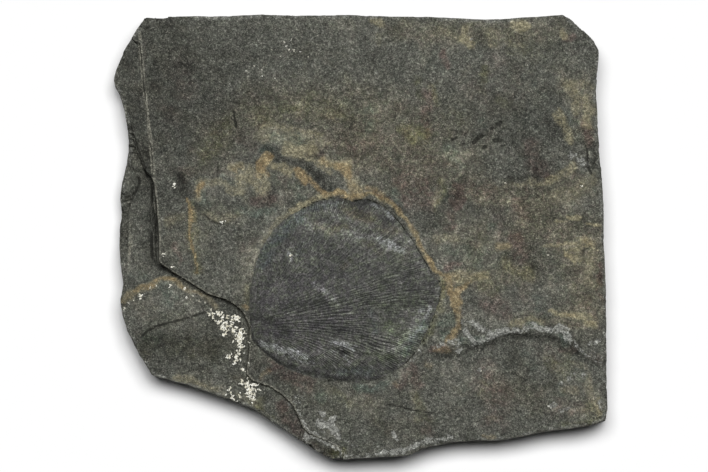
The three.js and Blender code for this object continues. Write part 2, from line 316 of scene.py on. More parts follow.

# Stains, cracks, pits, lighter stone, and darker stone with painted shade: points of each stroke, its half
# width in millimetres, and its strength
stainsAndShade = {
    "light": [
        ([(-51.3, 28), (-50.9, 21.2), (-50.3, 13.9)], 0.24, 0.45),
        ([(-50.2, 13.9), (-49.7, 7.8), (-49, -6.1)], 0.24, 1.15),
        ([(-56.3, 7.3), (-56.4, 2.9), (-56.5, -1.9), (-56.4, -6.1)], 0.24, 0.75),
        ([(-56.2, 17.5), (-55.2, 13.9)], 1.46, 0.35),
        ([(-57.1, 14.9), (-57.6, 11.5), (-56.9, 9.5)], 0.61, 0.5),
        ([(-53.7, 5.4), (-53.5, -4.4)], 1.71, 0.25), ([(-5.7, 15.6), (-3.5, 12.4)], 1.34, 0.8),
        ([(-3.8, 50.4), (1.3, 49.5)], 2.92, 0.5), ([(42.8, 50.9), (45.7, 49)], 2.19, 0.5),
        ([(29.1, 34.4), (38.9, 30.5)], 3.9, 0.35),
        ([(-20.1, 16.3), (-18.6, 11.5), (-14.7, 11)], 1.95, 0.5), ([(-25.5, 6.6), (-24, 5.6)], 1.46, 0.4),
        ([(13.5, 21.7), (15.5, 19.7)], 2.19, 0.35), ([(27.2, 15.8), (29.1, 11.5)], 2.44, 0.4),
        ([(23.3, 5.1), (30.6, 1.2), (26.7, -4.6)], 2.92, 0.4), ([(33.3, -7.6), (35.2, -9.5)], 1.71, 0.45),
        ([(51.5, -6.6), (54.9, -11.5), (53.5, -15.4)], 2.19, 0.5),
        ([(17.9, -21.7), (20.8, -23.4)], 1.58, 0.5), ([(43.7, 26.6), (39.4, 21.2)], 1.71, 0.3),
        ([(37.4, 7.6), (39.8, 4.6)], 1.71, 0.45), ([(50.6, -35.8), (54.5, -38.7)], 1.95, 0.4),
        ([(46.2, -31.9), (50.1, -30.9)], 1.71, 0.35), ([(52.5, -31.9), (54.9, -32.9)], 0.97, 0.5),
        ([(51.5, 17.3), (55.4, 13.9)], 1.71, 0.35), ([(-24, 18.8), (-17.2, 16.1)], 0.85, 0.4),
        ([(-41.5, -2.2), (-37.9, -4.4), (-32.3, -7.6)], 2.92, 0.35),
        ([(-37.9, -9.3), (-33, -11.7)], 2.68, 0.35),
        ([(16.9, 45.6), (34, 43.1), (48.6, 38.3)], 6.09, 0.22), ([(-7.4, 40.7), (9.6, 38.3)], 6.09, 0.15),
        ([(-37.9, 21.2), (-33, 23.6)], 2.68, 0.35),
        ([(-37.9, 10), (-33.7, 11.9), (-29.8, 14.4)], 2.92, 0.6),
        ([(-30.3, 15.8), (-26.9, 14.4), (-24, 13.4), (-25.5, 11.5)], 2.44, 0.75),
        ([(-24, 25.1), (-20.6, 24.9), (-17.2, 24.1), (-13.3, 24.1), (-9.9, 23.4)], 2.07, 0.75),
        ([(-5, 21.2), (-2.1, 19.7)], 1.34, 0.35), ([(-17.2, 21), (-13.8, 20.7)], 1.58, 1),
        ([(-22.1, 17.5), (-18.2, 16.8), (-15.7, 15.8)], 1.46, 0.45),
        ([(-9.4, 17.8), (-4.3, 17.1)], 1.58, 0.85),
        ([(-2.6, 14.9), (-0.6, 12.4), (1.3, 11.5)], 1.46, 0.8),
        ([(-20.1, 3.7), (-23.5, -0.7), (-26.2, -5.6), (-27.9, -11.7)], 1.83, 1),
        ([(-26.4, -3.2), (-27.2, -8)], 1.46, 0.6), ([(-14.7, 6.1), (-18.2, 3.9)], 0.73, 0.4),
        ([(20.3, 1.2), (24.7, 3.2), (29.6, 3.2), (32, -0.7), (30.6, -6.1), (24.7, -7.6),
          (21.3, -3.7)], 2.92, 0.55),
        ([(21.3, -1.7), (29.1, -2.2)], 3.17, 0.35), ([(26.7, 8.3), (29.6, 8.4), (32.5, 8)], 0.37, 0.8),
        ([(19.4, 14.9), (21.3, 14.6), (23.8, 15.1), (25.2, 15.8)], 0.41, 0.8),
        ([(21.3, 13.9), (20.1, 11), (18.4, 7.8)], 1.1, 0.6),
        ([(34, -11.5), (41.3, -12.9), (51, -11.7)], 3.17, 0.4), ([(48.6, 9), (55.9, 11.5)], 2.44, 0.5),
        ([(26.2, 49.9), (25.2, 47)], 1.58, 0.75), ([(37.4, 51.7), (40.3, 51.4)], 1.1, 1.3),
        ([(3.8, 52.4), (5.2, 51.4), (4.3, 47.5)], 0.85, 0.6),
        ([(31.6, 51.4), (34, 49.5), (32.5, 47)], 1.71, 0.45), ([(10.8, 49.7), (18.4, 49)], 1.46, 0.35),
        ([(48.6, 49.5), (51.5, 49.5)], 0.85, 0.6),
        ([(26.7, -20.7), (35.2, -20.7), (43.7, -20.2), (48.6, -19.7), (55.9, -21.7)], 1.71, 0.4),
        ([(20.3, -22.7), (19.4, -25.6), (24.7, -26.3), (28.6, -25.1)], 1.46, 0.45),
        ([(20.6, -11.5), (20.3, -15.4), (18.6, -19.7)], 0.85, 0.6),
        ([(12.1, 3.7), (14, 0.2), (16, -3.2)], 0.85, 0.45),
        ([(-10.4, -43.9), (-7.9, -45.6), (-6, -47.5)], 1.58, 0.5),
        ([(8.2, -35.8), (12.1, -31.4), (15.5, -28)], 0.97, 0.65),
        ([(1.3, -35.8), (6.7, -36.3)], 1.1, 0.5),
        ([(-12.3, -34.4), (-10.4, -38.3), (-13.8, -36.8)], 1.71, 0.35),
        ([(-2.1, -40.7), (4.3, -40.7)], 1.95, 0.3), ([(3.5, 21.2), (8.4, 21.2), (15.7, 18.8)], 4.87, 0.3),
        ([(9.6, 10), (15.5, 9)], 2.19, 0.2), ([(12.1, 25.6), (15.5, 24.4)], 1.46, 0.6),
        ([(3.8, 30.5), (4.8, 26.6)], 0.85, 0.4), ([(1.3, 17.5), (2.3, 15.8)], 0.97, 0.4),
        ([(22.3, 19.7), (25.2, 18.8)], 1.71, 0.55), ([(28.6, 21.2), (34, 20.7)], 1.95, 0.45),
        ([(34.5, -2.7), (35.9, -2.7)], 1.1, 0.55),
        ([(-51.3, -12.9), (-45.9, -11.9), (-42.5, -13.4)], 1.22, 0.2),
        ([(-51.3, -17.3), (-41.5, -16.8)], 3.17, 0.28),
        ([(-24, 30.5), (-14.7, 32.4), (-3.8, 30.5)], 2.68, 0.2),
        ([(48.6, -2.2), (55.9, -1.7), (56.4, -6.1), (51.5, -5.1)], 1.95, 0.5),
        ([(52.3, -15.4), (56.4, -19.7), (56.4, -14.4)], 1.46, 0.35),
        ([(53.5, -33.9), (56.4, -37.8), (58.4, -40.7)], 1.46, 0.6),
        ([(55.9, -28), (58.8, -29.5)], 0.97, 0.25), ([(30.3, -33.4), (32, -32.9)], 1.34, 0.4),
        ([(48.1, -42.6), (54.9, -43.1)], 0.73, 0.5),
        ([(21.8, -33.6), (26.7, -34.8), (23, -37.3)], 2.44, 0.5),
        ([(-25.7, -37.8), (-19.6, -39.7)], 0.85, 0.15),
        ([(52.3, 35.8), (55.9, 33.4), (55.4, 28.5)], 1.58, 0.65),
        ([(50.1, 38.7), (55.9, 37.3)], 0.85, 0.4), ([(45, 40.7), (48.1, 40), (51, 38.7)], 0.37, 0.6),
        ([(6.7, 33.9), (7.2, 32.4), (6.2, 30.5)], 0.41, 0.5), ([(15.7, 38.3), (16.2, 34.4)], 0.73, 0.4),
        ([(-45, -34.8), (-37.9, -35.8), (-33.7, -37.8)], 1.1, 0.65),
        ([(-29.8, -37.8), (-25.5, -39.7)], 1.1, 0.5), ([(-40.1, 7.8), (-39.1, 11.9)], 0.97, 0.5),
        ([(-37.6, 6.1), (-31.3, 6.1), (-29.4, 4.6)], 1.95, 0.35),
        ([(-19.6, 7.8), (-22.1, 2.9), (-24, 1.2)], 1.46, 0.4),
        ([(-49.5, -29.4), (-46.9, -31.4), (-44, -33.4)], 0.19, 0.45),
        ([(-48.9, -26.1), (-42.5, -24.1), (-35.2, -23.9)], 0.19, 0.3),
        ([(-46.4, -31.9), (-40.1, -29.7), (-35.2, -28.3)], 0.19, 0.3),
        ([(-47.9, -22.9), (-41.5, -21.9), (-36.2, -22.4)], 0.19, 0.25),
        ([(-25.5, 16.8), (-24, 14.9)], 1.95, 0.35), ([(19.4, -13.2), (28.6, -12.9)], 1.95, 0.3),
        ([(14.5, -7.6), (15.5, -11.5)], 0.97, 0.3), ([(52.3, 21.2), (55.9, 20.7)], 1.22, 0.3),
        ([(51.5, 7.1), (54.9, 6.1)], 1.22, 0.3), ([(25.5, -12.4), (27.2, -11.9)], 0.97, 0.45),
        ([(18.9, -11.9), (30.1, -13.2)], 1.71, 0.4), ([(-45.9, 1.2), (-37.6, 1.7)], 1.71, 0.3),
        ([(12.1, -11.5), (14, -15.4)], 0.73, 0.2),
    ],
    # Darker stone, and painted shade: along the foot of the left wall and its ledges, under the missing
    # flake's edge and between the crust grains
    "darkStoneAndShade": [
        ([(1.3, 10.7), (4.3, 10.2), (7.2, 8.8), (9.6, 5.8), (10.8, 4.4)], 0.44, 0.7),
        ([(-53.2, 48), (-48.9, 43.1), (-45, 35.8), (-41.5, 28.5)], 8.53, 0.4),
        ([(-48.9, 23.6), (-47.4, 11.5)], 3.65, 0.3), ([(-43.5, 13.9), (-42, 10.5)], 1.22, 1),
        ([(-45, 1.2), (-43.7, -1.7)], 1.22, 0.35), ([(-8.9, 11.7), (-7.2, 10.2)], 0.61, 0.5),
        ([(-40.1, 7.6), (-38.4, 6.8)], 0.85, 0.5),
        ([(35.2, 30.5), (41.3, 26.1), (45.7, 26.6)], 3.65, 0.45),
        ([(45, 33.4), (47.6, 29.5), (48.6, 23.6)], 1.95, 0.3),
        ([(41.1, 21.2), (42.8, 17.3), (46.7, 15.8)], 1.95, 0.45),
        ([(24.7, 13.4), (23.8, 10), (22.3, 7.1)], 1.1, 0.35),
        ([(21.6, 12.9), (20.8, 9), (19.4, 6.1)], 0.61, 0.5), ([(18.4, 5.6), (16.9, 2.2)], 1.22, 0.35),
        ([(26.7, 7.1), (30.1, 7.1), (33.5, 6.6)], 0.85, 0.35),
        ([(-24, 21.7), (-21.8, 20.2), (-19.1, 18.8), (-16.7, 17.8)], 0.61, 0.7),
        ([(-14.7, 19), (-13.3, 17.3), (-11.1, 15.1), (-8.9, 12.9), (-6.9, 11.2)], 0.73, 0.75),
        ([(-11.8, 21), (-10.4, 20)], 1.1, 0.6), ([(-25.5, 9), (-22.1, 8.8)], 1.46, 0.6),
        ([(-33.7, 10), (-33.7, 9)], 1.1, 0.3),
        ([(-51.3, -27), (-44, -26.6), (-37.2, -27), (-34.2, -25.1)], 2.92, 0.65),
        ([(-48.9, -31.4), (-39.1, -30.5)], 1.46, 0.4),
        ([(34, -25.1), (36.9, -27.5), (37.9, -30.9)], 1.95, 0.4),
        ([(19.4, -29), (24.7, -28), (30.6, -26.6), (34, -24.6), (38.9, -24.1), (45, -24.4),
          (48.6, -25.8), (50.6, -28)], 0.61, 0.8),
        ([(51.5, -26.6), (54, -29)], 0.85, 0.55), ([(38.9, -32.9), (45.7, -34.8)], 1.95, 0.2),
        ([(26.7, 29), (29.6, 27)], 1.71, 0.25), ([(45, 11.9), (47.6, 6.1)], 1.46, 0.3),
        ([(50.1, 5.1), (49.1, 6.6)], 0.61, 0.4),
        ([(-58.1, 43.1), (-56.2, 35.8), (-54.7, 23.6)], 1.83, 0.55),
        ([(-54.7, 21.2), (-53.2, 9), (-51.3, -4.4)], 1.95, 0.5),
        ([(-57.5, 7.6), (-58, 3.7), (-58.2, -0.7)], 0.73, 0.8),
        ([(-58.2, -0.7), (-58.1, -4.1)], 0.49, 0.45), ([(-56.9, 16.3), (-57.1, 9)], 0.97, 0.3),
        ([(-52.3, 21.2), (-51.5, 15.1), (-50.8, 7.8), (-50.3, -0.7), (-49.6, -6.1),
          (-48.1, -7.6)], 0.54, 0.9),
        ([(35.9, 14.3), (41.3, 14.3), (46.7, 14.4)], 0.41, 0.85), ([(40.3, 7.6), (41.5, 3.2)], 0.61, 0.5),
        ([(41.3, -2.2), (42.3, -8.5)], 0.97, 0.6), ([(34, -4.9), (37.4, -4.6)], 0.73, 0.45),
        ([(38.9, -8.5), (40.1, -10)], 0.61, 0.4), ([(26.7, -14.4), (27.7, -15.6)], 0.73, 0.4),
        ([(-24, -31.9), (-18.4, -33.4), (-13.5, -34.4)], 1.71, 0.5),
        ([(15.7, -45.8), (19.4, -48.5)], 1.71, 0.3), ([(5.7, -43.1), (4.8, -46.5)], 1.46, 0.25),
        ([(-18.6, -42.2), (-16.7, -45.6), (-14.7, -49)], 1.46, 0.35),
        ([(-33, 43.1), (-29.4, 35.8)], 3.65, 0.15), ([(56.9, 22.2), (57.1, 16.8)], 0.49, 0.8),
        ([(58.4, -6.1), (58.6, -11.7)], 0.49, 0.9), ([(-3, 29), (-2.1, 24.1)], 1.71, 0.15),
        ([(-2.8, 21.7), (-2.1, 19.7)], 0.61, 0.35), ([(-51, 10), (-50.7, 2.9), (-50.2, -6.1)], 0.61, 0.9),
        ([(-33.7, -19.7), (-30.8, -24.1), (-29.8, -32.9)], 2.92, 0.35),
        ([(-29.4, -33.9), (-26.9, -37.8)], 2.44, 0.35), ([(-25.7, -39.7), (-24, -40.7)], 1.22, 0.2),
        ([(-44, -33.9), (-37.9, -31.2), (-33.7, -29.2)], 0.19, 0.5),
        ([(-51, -24.9), (-50.1, -22.9), (-47, -21.6)], 0.24, 0.4),
        ([(-49.3, -28), (-42.8, -26.1), (-35.5, -25.6)], 0.17, 0.3),
        ([(-48.9, -30.5), (-41.5, -28.5), (-36.2, -27.5)], 0.17, 0.25),
        ([(-11.8, -50.4), (-8.9, -51.7), (-5.5, -53.1)], 0.73, 0.55),
        ([(-50.9, 7.8), (-50.6, 1.7), (-50.1, -5.1)], 0.49, 0.5),
        ([(-29.8, -21.7), (-28.1, -24.6)], 0.85, 0.6), ([(-25.9, -35.8), (-23.8, -38.7)], 1.1, 0.6),
        ([(-15.7, -31.7), (-11.8, -33.4)], 1.1, 0.4),
    ],
    "warm": [
        ([(-28.9, 28.5), (-24, 31.4), (-7.4, 32.4), (9.6, 29), (19.4, 23.6)], 4.14, 0.55),
        ([(-26.9, 30.5), (-14.7, 30.5)], 2.92, 0.3),
        ([(-7.4, 25.6), (4.8, 21.2), (14.5, 17.5), (21.8, 16.3)], 5.6, 0.6),
        ([(-22.1, 16.3), (-12.3, 9)], 2.44, 0.25), ([(21.8, 1.7), (31.6, -1.9)], 4.14, 0.35),
        ([(27.9, 11), (38.9, 10), (52.3, 12.4)], 2.44, 0.7),
        ([(43.7, 5.4), (54.5, -1.9), (54.5, -12.9)], 4.87, 0.7),
        ([(38.9, 1.7), (46.7, -6.1)], 3.65, 0.45),
        ([(19.4, -11.7), (29.1, -10.5), (40.8, -8.5)], 1.95, 0.6),
        ([(37.6, -20.7), (55.9, -20.2)], 1.22, 0.6),
        ([(9.6, 50.4), (29.1, 49.5), (48.6, 50.4)], 1.95, 0.45),
        ([(51, 37), (55.9, 30.9), (54.5, 26.1)], 2.19, 0.5),
        ([(-37.9, 23.6), (-33.7, 26.1), (-32.3, 21.2), (-37.6, 19.7)], 2.44, 0.45),
        ([(22.3, -19.7), (22.3, -26.3)], 1.46, 0.3),
        ([(-2.1, -39.7), (4.3, -41.2), (4.8, -45.6)], 1.71, 0.3),
        ([(12.1, -38.5), (16, -44.1)], 1.22, 0.2), ([(-45.9, 3.7), (-42.5, 5.1)], 1.22, 0.45),
        ([(34, -37.3), (43.7, -39.2), (55.9, -40.7)], 2.44, 0.25),
        ([(53.5, -32.9), (57.9, -39.7)], 1.71, 0.2), ([(-27.9, -34.8), (-31.3, -32.9)], 0.97, 0.3),
        ([(-35.5, -38.5), (-44, -35.3)], 1.1, 0.4),
        ([(-41.5, 16.3), (-37.6, 17.3), (-32.8, 16.8)], 1.46, 0.4),
        ([(-37.2, 6.1), (-30.3, 5.6)], 1.71, 0.35), ([(-27.4, -0.7), (-28.4, -15.4)], 1.71, 0.2),
        ([(-7.4, 51.7), (-3.8, 52.9)], 1.22, 0.2), ([(-9.9, -51.9), (-5, -53.1)], 1.22, 0.5),
        ([(-25.7, -39.7), (-24, -42.6)], 0.97, 0.4),
    ],
    "olive": [
        ([(-41.1, 7.6), (-40.6, -0.7), (-39.8, -8)], 1.1, 0.55),
        ([(-38.1, 20.2), (-35.2, 23.6), (-32.8, 26.1)], 2.19, 0.5),
        ([(-24, 29), (-14.7, 31.9), (-3.8, 30.5)], 2.44, 0.4),
        ([(19.4, 14.4), (20.3, 11.5), (18.4, 7.3)], 0.97, 0.45),
        ([(21.3, 30.5), (24.7, 28.5)], 1.71, 0.4), ([(10.6, 25.3), (15.5, 24.1)], 1.46, 0.7),
        ([(14, 37.3), (15.5, 33.9)], 0.85, 0.5), ([(17.9, 37.3), (18.4, 32.4)], 0.85, 0.55),
        ([(30.1, 41.2), (30.1, 38.7)], 0.73, 0.6), ([(30.1, 37.3), (30.1, 34.8)], 0.61, 0.3),
        ([(34, 32.9), (35.9, 32.4)], 0.97, 0.4), ([(19.4, 52.9), (38.9, 48), (48.6, 43.1)], 3.17, 0.25),
        ([(36.4, 46.5), (40.1, 45.6)], 1.71, 0.4),
        ([(-51.3, -26.3), (-44, -27), (-35.5, -27.5)], 2.68, 0.35),
        ([(19.9, -11.5), (19.9, -15.8), (18.4, -19.7), (15.7, -25.1)], 0.73, 0.7),
        ([(-18.4, -36.1), (-9.9, -38.5), (-3.8, -45.8)], 2.68, 0.25),
        ([(-6.2, -37.8), (-3.8, -40.2)], 1.1, 0.5), ([(35.5, -6.1), (38.9, -9.5), (41.3, -8)], 1.46, 0.5),
        ([(28.1, -9), (32.5, -12.9)], 1.46, 0.4), ([(-27.7, -11.9), (-28.6, -16.3)], 0.85, 0.5),
        ([(48.6, 28), (50.6, 24.6)], 0.97, 0.3), ([(46.2, -30.5), (50.1, -32.9), (51, -30)], 1.46, 0.5),
        ([(55.9, -40.2), (57.4, -44.6), (49.1, -46.3)], 0.97, 0.5),
        ([(29.6, -35.8), (30.1, -38.7)], 0.97, 0.4), ([(13.3, -38.7), (15.5, -45.1)], 0.97, 0.5),
        ([(29.1, -0.7), (26.7, -6.1)], 1.95, 0.3), ([(-6.9, -52.9), (-4.3, -52.4)], 0.97, 0.9),
        ([(-22.5, -44.1), (-21.1, -44.6)], 0.85, 0.5), ([(-25, -39.7), (-23.5, -42.2)], 0.97, 0.5),
        ([(-38.1, 1.2), (-40.1, -3.2)], 1.95, 0.3), ([(-44, -19.2), (-51.3, -20.7)], 1.22, 0.3),
    ],
    "mauve": [
        ([(2.8, 11.2), (6.7, 9.7), (10.1, 6.1)], 0.41, 0.9), ([(-19.6, 14.9), (-18.2, 12.4)], 1.46, 0.45),
        ([(10.1, 13.4), (15.5, 12.9), (16.4, 8.5), (10.6, 9)], 1.83, 0.6),
        ([(-3.8, 23.6), (6, 20), (15.7, 16.8)], 3.65, 0.3), ([(-25, 8.8), (-22.1, 8.5)], 1.46, 0.85),
        ([(23.5, 11.2), (24.2, 9.7), (23.3, 8)], 1.1, 1.4), ([(26.7, 12.7), (31.6, 11)], 1.71, 0.45),
        ([(21.8, 6.6), (21.8, 2.7)], 0.73, 0.5), ([(41.3, 21.7), (42.5, 17.3), (45, 15.8)], 1.71, 0.7),
        ([(38.4, 7.6), (39.4, 5.1)], 1.46, 0.5), ([(37.9, -1.2), (38.9, -4.6)], 1.71, 0.75),
        ([(33.7, 6.1), (34, 0.2)], 1.22, 0.4), ([(21.3, -7.1), (23.8, -6.6)], 0.61, 1),
        ([(-11.3, 20.7), (-10.4, 19.5)], 0.97, 0.6), ([(-29.4, 24.1), (-26.4, 22.2)], 1.22, 0.4),
        ([(-44, 40.7), (-42.5, 35.3)], 2.44, 0.35), ([(-46.9, 30.9), (-45.9, 28.5)], 1.95, 0.3),
        ([(-21.1, -31.4), (-15.7, -33.4), (-13.3, -35.8)], 1.71, 0.75),
        ([(-18.6, -41.7), (-16.2, -45.6), (-14.7, -49)], 1.46, 0.7),
        ([(-13.3, -50.4), (-9.4, -52.4)], 0.97, 0.5), ([(30.6, -16.1), (35, -17.8)], 1.95, 0.6),
        ([(40.1, -13.4), (41.3, -15.4)], 1.71, 0.35),
        ([(9.1, -36.8), (12.5, -32.4), (14, -35.8)], 1.1, 0.6), ([(55.4, 26.6), (55.9, 22.7)], 0.73, 1),
        ([(58.4, -6.1), (58.6, -11)], 0.49, 1.3), ([(17.4, -27.5), (20.8, -27)], 0.73, 1.3),
        ([(20.1, 45.6), (20.8, 42.6)], 0.73, 0.9), ([(16.4, 35.8), (16.9, 31.4)], 0.85, 0.7),
        ([(15.5, 31.4), (16, 24.6)], 0.61, 0.6), ([(49.8, 48.5), (52, 49)], 0.73, 0.8),
        ([(-41.5, 19.7), (-38.1, 19.7)], 1.22, 0.3), ([(-43, 15.4), (-41.5, 16.3)], 1.22, 0.4),
        ([(34, 42.2), (38.9, 35.8)], 2.92, 0.3), ([(26.7, 37.3), (31.6, 33.4)], 2.44, 0.3),
        ([(30.1, -33.9), (34, -39.7), (32.5, -44.6)], 2.68, 0.5),
        ([(47.4, -42.6), (55.9, -40.7)], 1.46, 0.4), ([(45, -28), (47.6, -30.5)], 1.71, 0.4),
        ([(52, -27.5), (49.1, -28)], 0.73, 0.6), ([(55.9, -28.5), (59.3, -30)], 0.85, 0.4),
        ([(15.7, -47.5), (17.9, -48)], 0.85, 0.6), ([(-45, -1.7), (-44.5, -6.1)], 0.37, 0.6),
        ([(55.4, -15.4), (58.4, -22.7)], 0.85, 0.4), ([(2.3, 11.9), (5.7, 10)], 0.61, 0.6),
    ],
    "teal": [
        ([(-20.6, 13.9), (-16.7, 12.4), (-14.7, 10)], 1.46, 0.5),
        ([(-21.6, 24.1), (-17.2, 23.6), (-14.7, 23.9)], 1.34, 0.7),
        ([(-24, 21.2), (-22.5, 20.7)], 0.97, 0.6), ([(7.7, 10.5), (9.1, 9)], 0.97, 0.7),
        ([(-38.1, 10), (-37.6, 8)], 0.73, 0.8), ([(-29.4, 6.6), (-25.5, 5.1), (-20.6, 6.1)], 1.1, 0.6),
        ([(-33.7, 14.4), (-31.8, 13.4)], 0.97, 0.4), ([(2.3, 31.4), (2.8, 26.6)], 0.97, 0.6),
        ([(-2.6, 32.4), (-0.6, 31.4)], 1.22, 0.4), ([(6.2, 21.7), (8.6, 19.7)], 1.1, 0.4),
        ([(21.8, 21.2), (23.3, 18.3)], 1.71, 0.6), ([(22.3, 12.4), (21.3, 9)], 0.61, 0.5),
        ([(20.8, -3.2), (25.7, -3.7)], 1.1, 0.5), ([(30.1, -3.7), (28.6, -6.1)], 1.22, 0.5),
        ([(32, 2.7), (32.5, 1.2)], 0.73, 0.6), ([(33, -8), (33.5, -10.5)], 1.1, 0.4),
        ([(45.7, -3.7), (46.7, -6.1)], 1.1, 0.4), ([(48.6, -10.5), (49.1, -12.9)], 1.1, 0.4),
        ([(42.5, -15.8), (45, -18.8)], 1.46, 0.4), ([(21.3, -19.7), (20.8, -23.6)], 1.22, 0.8),
        ([(25.2, -25.6), (30.1, -25.1)], 0.97, 0.7), ([(41.3, -21.9), (44.7, -21.9)], 0.61, 1),
        ([(48.6, -23.6), (50.1, -25.6)], 0.73, 0.9), ([(40.8, -28.5), (41.8, -31.4)], 1.1, 0.5),
        ([(25.7, -35.8), (26.2, -38.7)], 0.97, 0.4), ([(49.1, -35.8), (49.6, -37.8)], 0.85, 0.5),
        ([(-0.6, -36.8), (2.8, -37.3), (6.2, -36.3)], 0.85, 0.8),
        ([(-9.9, -37.8), (-9.4, -39.7)], 0.73, 0.6), ([(-47.9, -12.9), (-46.4, -15.4)], 1.46, 0.5),
        ([(-51.8, -24.1), (-49.3, -25.1)], 1.46, 0.5), ([(-40.6, -24.1), (-39.1, -27.5)], 0.97, 0.3),
        ([(-55.7, -9.5), (-52.3, -9.5)], 0.97, 0.4), ([(38.9, 29.5), (41.3, 28)], 1.71, 0.3),
        ([(30.1, 29), (30.6, 27.5)], 0.85, 0.5), ([(38.9, 38.3), (43.7, 34.4)], 2.92, 0.3),
        ([(14.5, 45.6), (19.4, 40.7)], 2.44, 0.25), ([(50.1, 29.5), (52.5, 28)], 1.1, 0.4),
        ([(52.3, -32.9), (54.5, -34.4)], 0.85, 0.6),
    ],
    "ochre": [
        ([(-40.8, 6.6), (-40.3, -1.2)], 0.62, 0.25), ([(-28.4, 10), (-26.9, 6.6)], 0.52, 0.2),
        ([(-25, 26.1), (-24, 26.8), (-20.8, 26.9), (-14.7, 25.9), (-10.8, 25.1),
          (-9.4, 23.6)], 0.52, 0.5),
        ([(-24, 25.1), (-17.2, 24.4), (-10.4, 23.4)], 1.66, 0.4),
        ([(-17.7, 21.4), (-14.7, 21), (-12.8, 21.2)], 1.35, 1),
        ([(-9.6, 18.3), (-7.4, 17.8), (-3.5, 17.8)], 0.93, 0.75),
        ([(-3, 14.9), (-1.6, 13.2), (-0.1, 11.9)], 0.93, 0.6), ([(0.4, 11.7), (3.8, 11.9)], 0.72, 0.4),
        ([(-29.4, 13.4), (-27.4, 15.8), (-25, 14.4), (-24, 11.9)], 1.55, 0.6),
        ([(-31.8, 17.3), (-28.6, 17.1)], 0.72, 0.7), ([(-32.3, 11.7), (-28.9, 11)], 0.72, 0.5),
        ([(-38.1, 13.4), (-35.5, 13.6), (-33.3, 12.9)], 0.72, 0.5),
        ([(-39.4, 13.2), (-39.1, 9.7)], 0.93, 0.45),
        ([(-37.6, 5.1), (-34.2, 4.4), (-30.3, 5.6)], 0.93, 0.35),
        ([(-31.8, -9.5), (-29.4, -10.5)], 0.83, 0.1), ([(-28.1, -15.8), (-27.9, -12.4)], 0.52, 0.25),
        ([(-26.9, -8), (-25.2, -3.9), (-22.8, 0), (-19.9, 3.2), (-16.7, 5.8)], 0.52, 0.15),
        ([(-16.7, 5.8), (-14.7, 7.3), (-12.3, 8.8), (-9.4, 9.9)], 0.57, 0.9),
        ([(-23, 18.5), (-20.6, 17.3), (-17.2, 16.1)], 0.83, 0.8),
        ([(-12.8, 19.7), (-10.4, 17.3), (-7.4, 15.4)], 0.41, 0.6),
        ([(33.3, 11.8), (36.4, 12.4), (39.4, 12.8)], 0.41, 0.3),
        ([(38.9, 12.8), (41.3, 13.2), (45, 13.3)], 0.37, 0.5),
        ([(46.2, 13.6), (48.6, 15.1), (51.5, 16.6)], 0.93, 0.6),
        ([(45.7, 9), (52.3, 11), (55.9, 13.9)], 1.45, 0.35), ([(18.4, -0.7), (23, -0.2)], 0.83, 0.4),
        ([(20.3, -9.5), (23.8, -10), (27.2, -10.2), (30.1, -9.5)], 0.93, 0.65),
        ([(26.7, -10.2), (29.1, -10.5)], 0.52, 0.6), ([(10.6, 25.6), (15, 24.1)], 0.93, 0.25),
        ([(35.2, -6.1), (38.4, -8), (40.8, -10)], 0.93, 0.4),
        ([(47.9, 30), (49.1, 27.8), (50.3, 25.6), (51.5, 23.6)], 0.83, 0.6),
        ([(51.3, 36.8), (52.3, 33.9), (52.5, 30.9)], 0.83, 0.6),
        ([(54.5, 33.9), (55.7, 30.5), (55.4, 27)], 0.83, 0.65), ([(49.6, 37.8), (55.9, 36.8)], 0.62, 0.4),
        ([(3.3, 52.9), (5, 51.9)], 0.72, 0.8), ([(3.8, 49), (4.8, 47)], 0.52, 0.35),
        ([(25.7, 50.4), (25, 48.5), (26.7, 47)], 0.83, 0.8), ([(19.4, 50.9), (23, 49)], 0.52, 0.35),
        ([(32, 50.4), (32.5, 47)], 0.62, 0.4), ([(37.4, 51.7), (40.3, 51.4)], 0.83, 1.1),
        ([(48.9, 49.7), (49.6, 49)], 0.62, 0.9), ([(35.9, 47.5), (39.4, 46.1)], 0.83, 0.3),
        ([(17.4, 36.8), (18.4, 33.4)], 0.52, 0.35),
        ([(44.5, -2.2), (46.2, -1.8), (47.6, -2.2)], 0.17, 0.7),
        ([(48.1, -2.1), (50.1, -1.7), (51.8, -1.9), (53.7, -2.4)], 0.19, 1.1),
        ([(50.1, -3.7), (51.3, -4.9), (52.8, -6.2)], 0.19, 1.2),
        ([(50.6, 5.1), (52, 5.1), (53, 4.6)], 0.35, 1.1),
        ([(54.5, 3.4), (56.4, 3.2), (58.6, 2.8)], 0.18, 0.9), ([(47.6, 4), (50.3, 3.7)], 0.17, 0.8),
        ([(52, -1.5), (54.5, -0.7), (56.4, -1.5), (57.4, -2.7)], 0.62, 0.6),
        ([(52.5, -0.2), (55.9, -1.9), (57.9, -3.2)], 0.21, 1),
        ([(50.3, -4.4), (52, -4.9), (54, -6.1)], 0.19, 1.1),
        ([(55.9, -6.1), (55.4, -10.5), (57.4, -11)], 1.04, 0.4),
        ([(51, -3.4), (53.5, -3.2), (55.4, -2.4)], 0.19, 1.1),
        ([(53, -3.7), (54.9, -6.1), (56.4, -4.6)], 0.93, 0.45),
        ([(46.7, -17.9), (48.6, -18.3), (51, -18.8), (53, -19.2), (54.9, -19.5)], 0.23, 1.4),
        ([(50.6, -18.4), (56.4, -18.8)], 0.19, 1),
        ([(47.6, -18.3), (53.5, -18.8), (56.9, -19.7)], 0.72, 0.4),
        ([(36.9, -20.7), (41.3, -20.5), (45, -20.5)], 0.52, 0.55),
        ([(54.9, -20.7), (56.9, -21.9)], 0.62, 0.7), ([(55.4, -34.8), (56.4, -39.2)], 0.83, 0.35),
        ([(49.3, -36.8), (52.3, -37.8)], 0.72, 0.25), ([(52, -30.9), (54.5, -31.9)], 0.52, 0.3),
        ([(57.9, -39.7), (58.4, -42.6)], 0.62, 0.6), ([(29.6, -48.5), (32.8, -48.5)], 0.31, 0.2),
        ([(49.1, -45.8), (54.9, -44.6)], 0.31, 0.1),
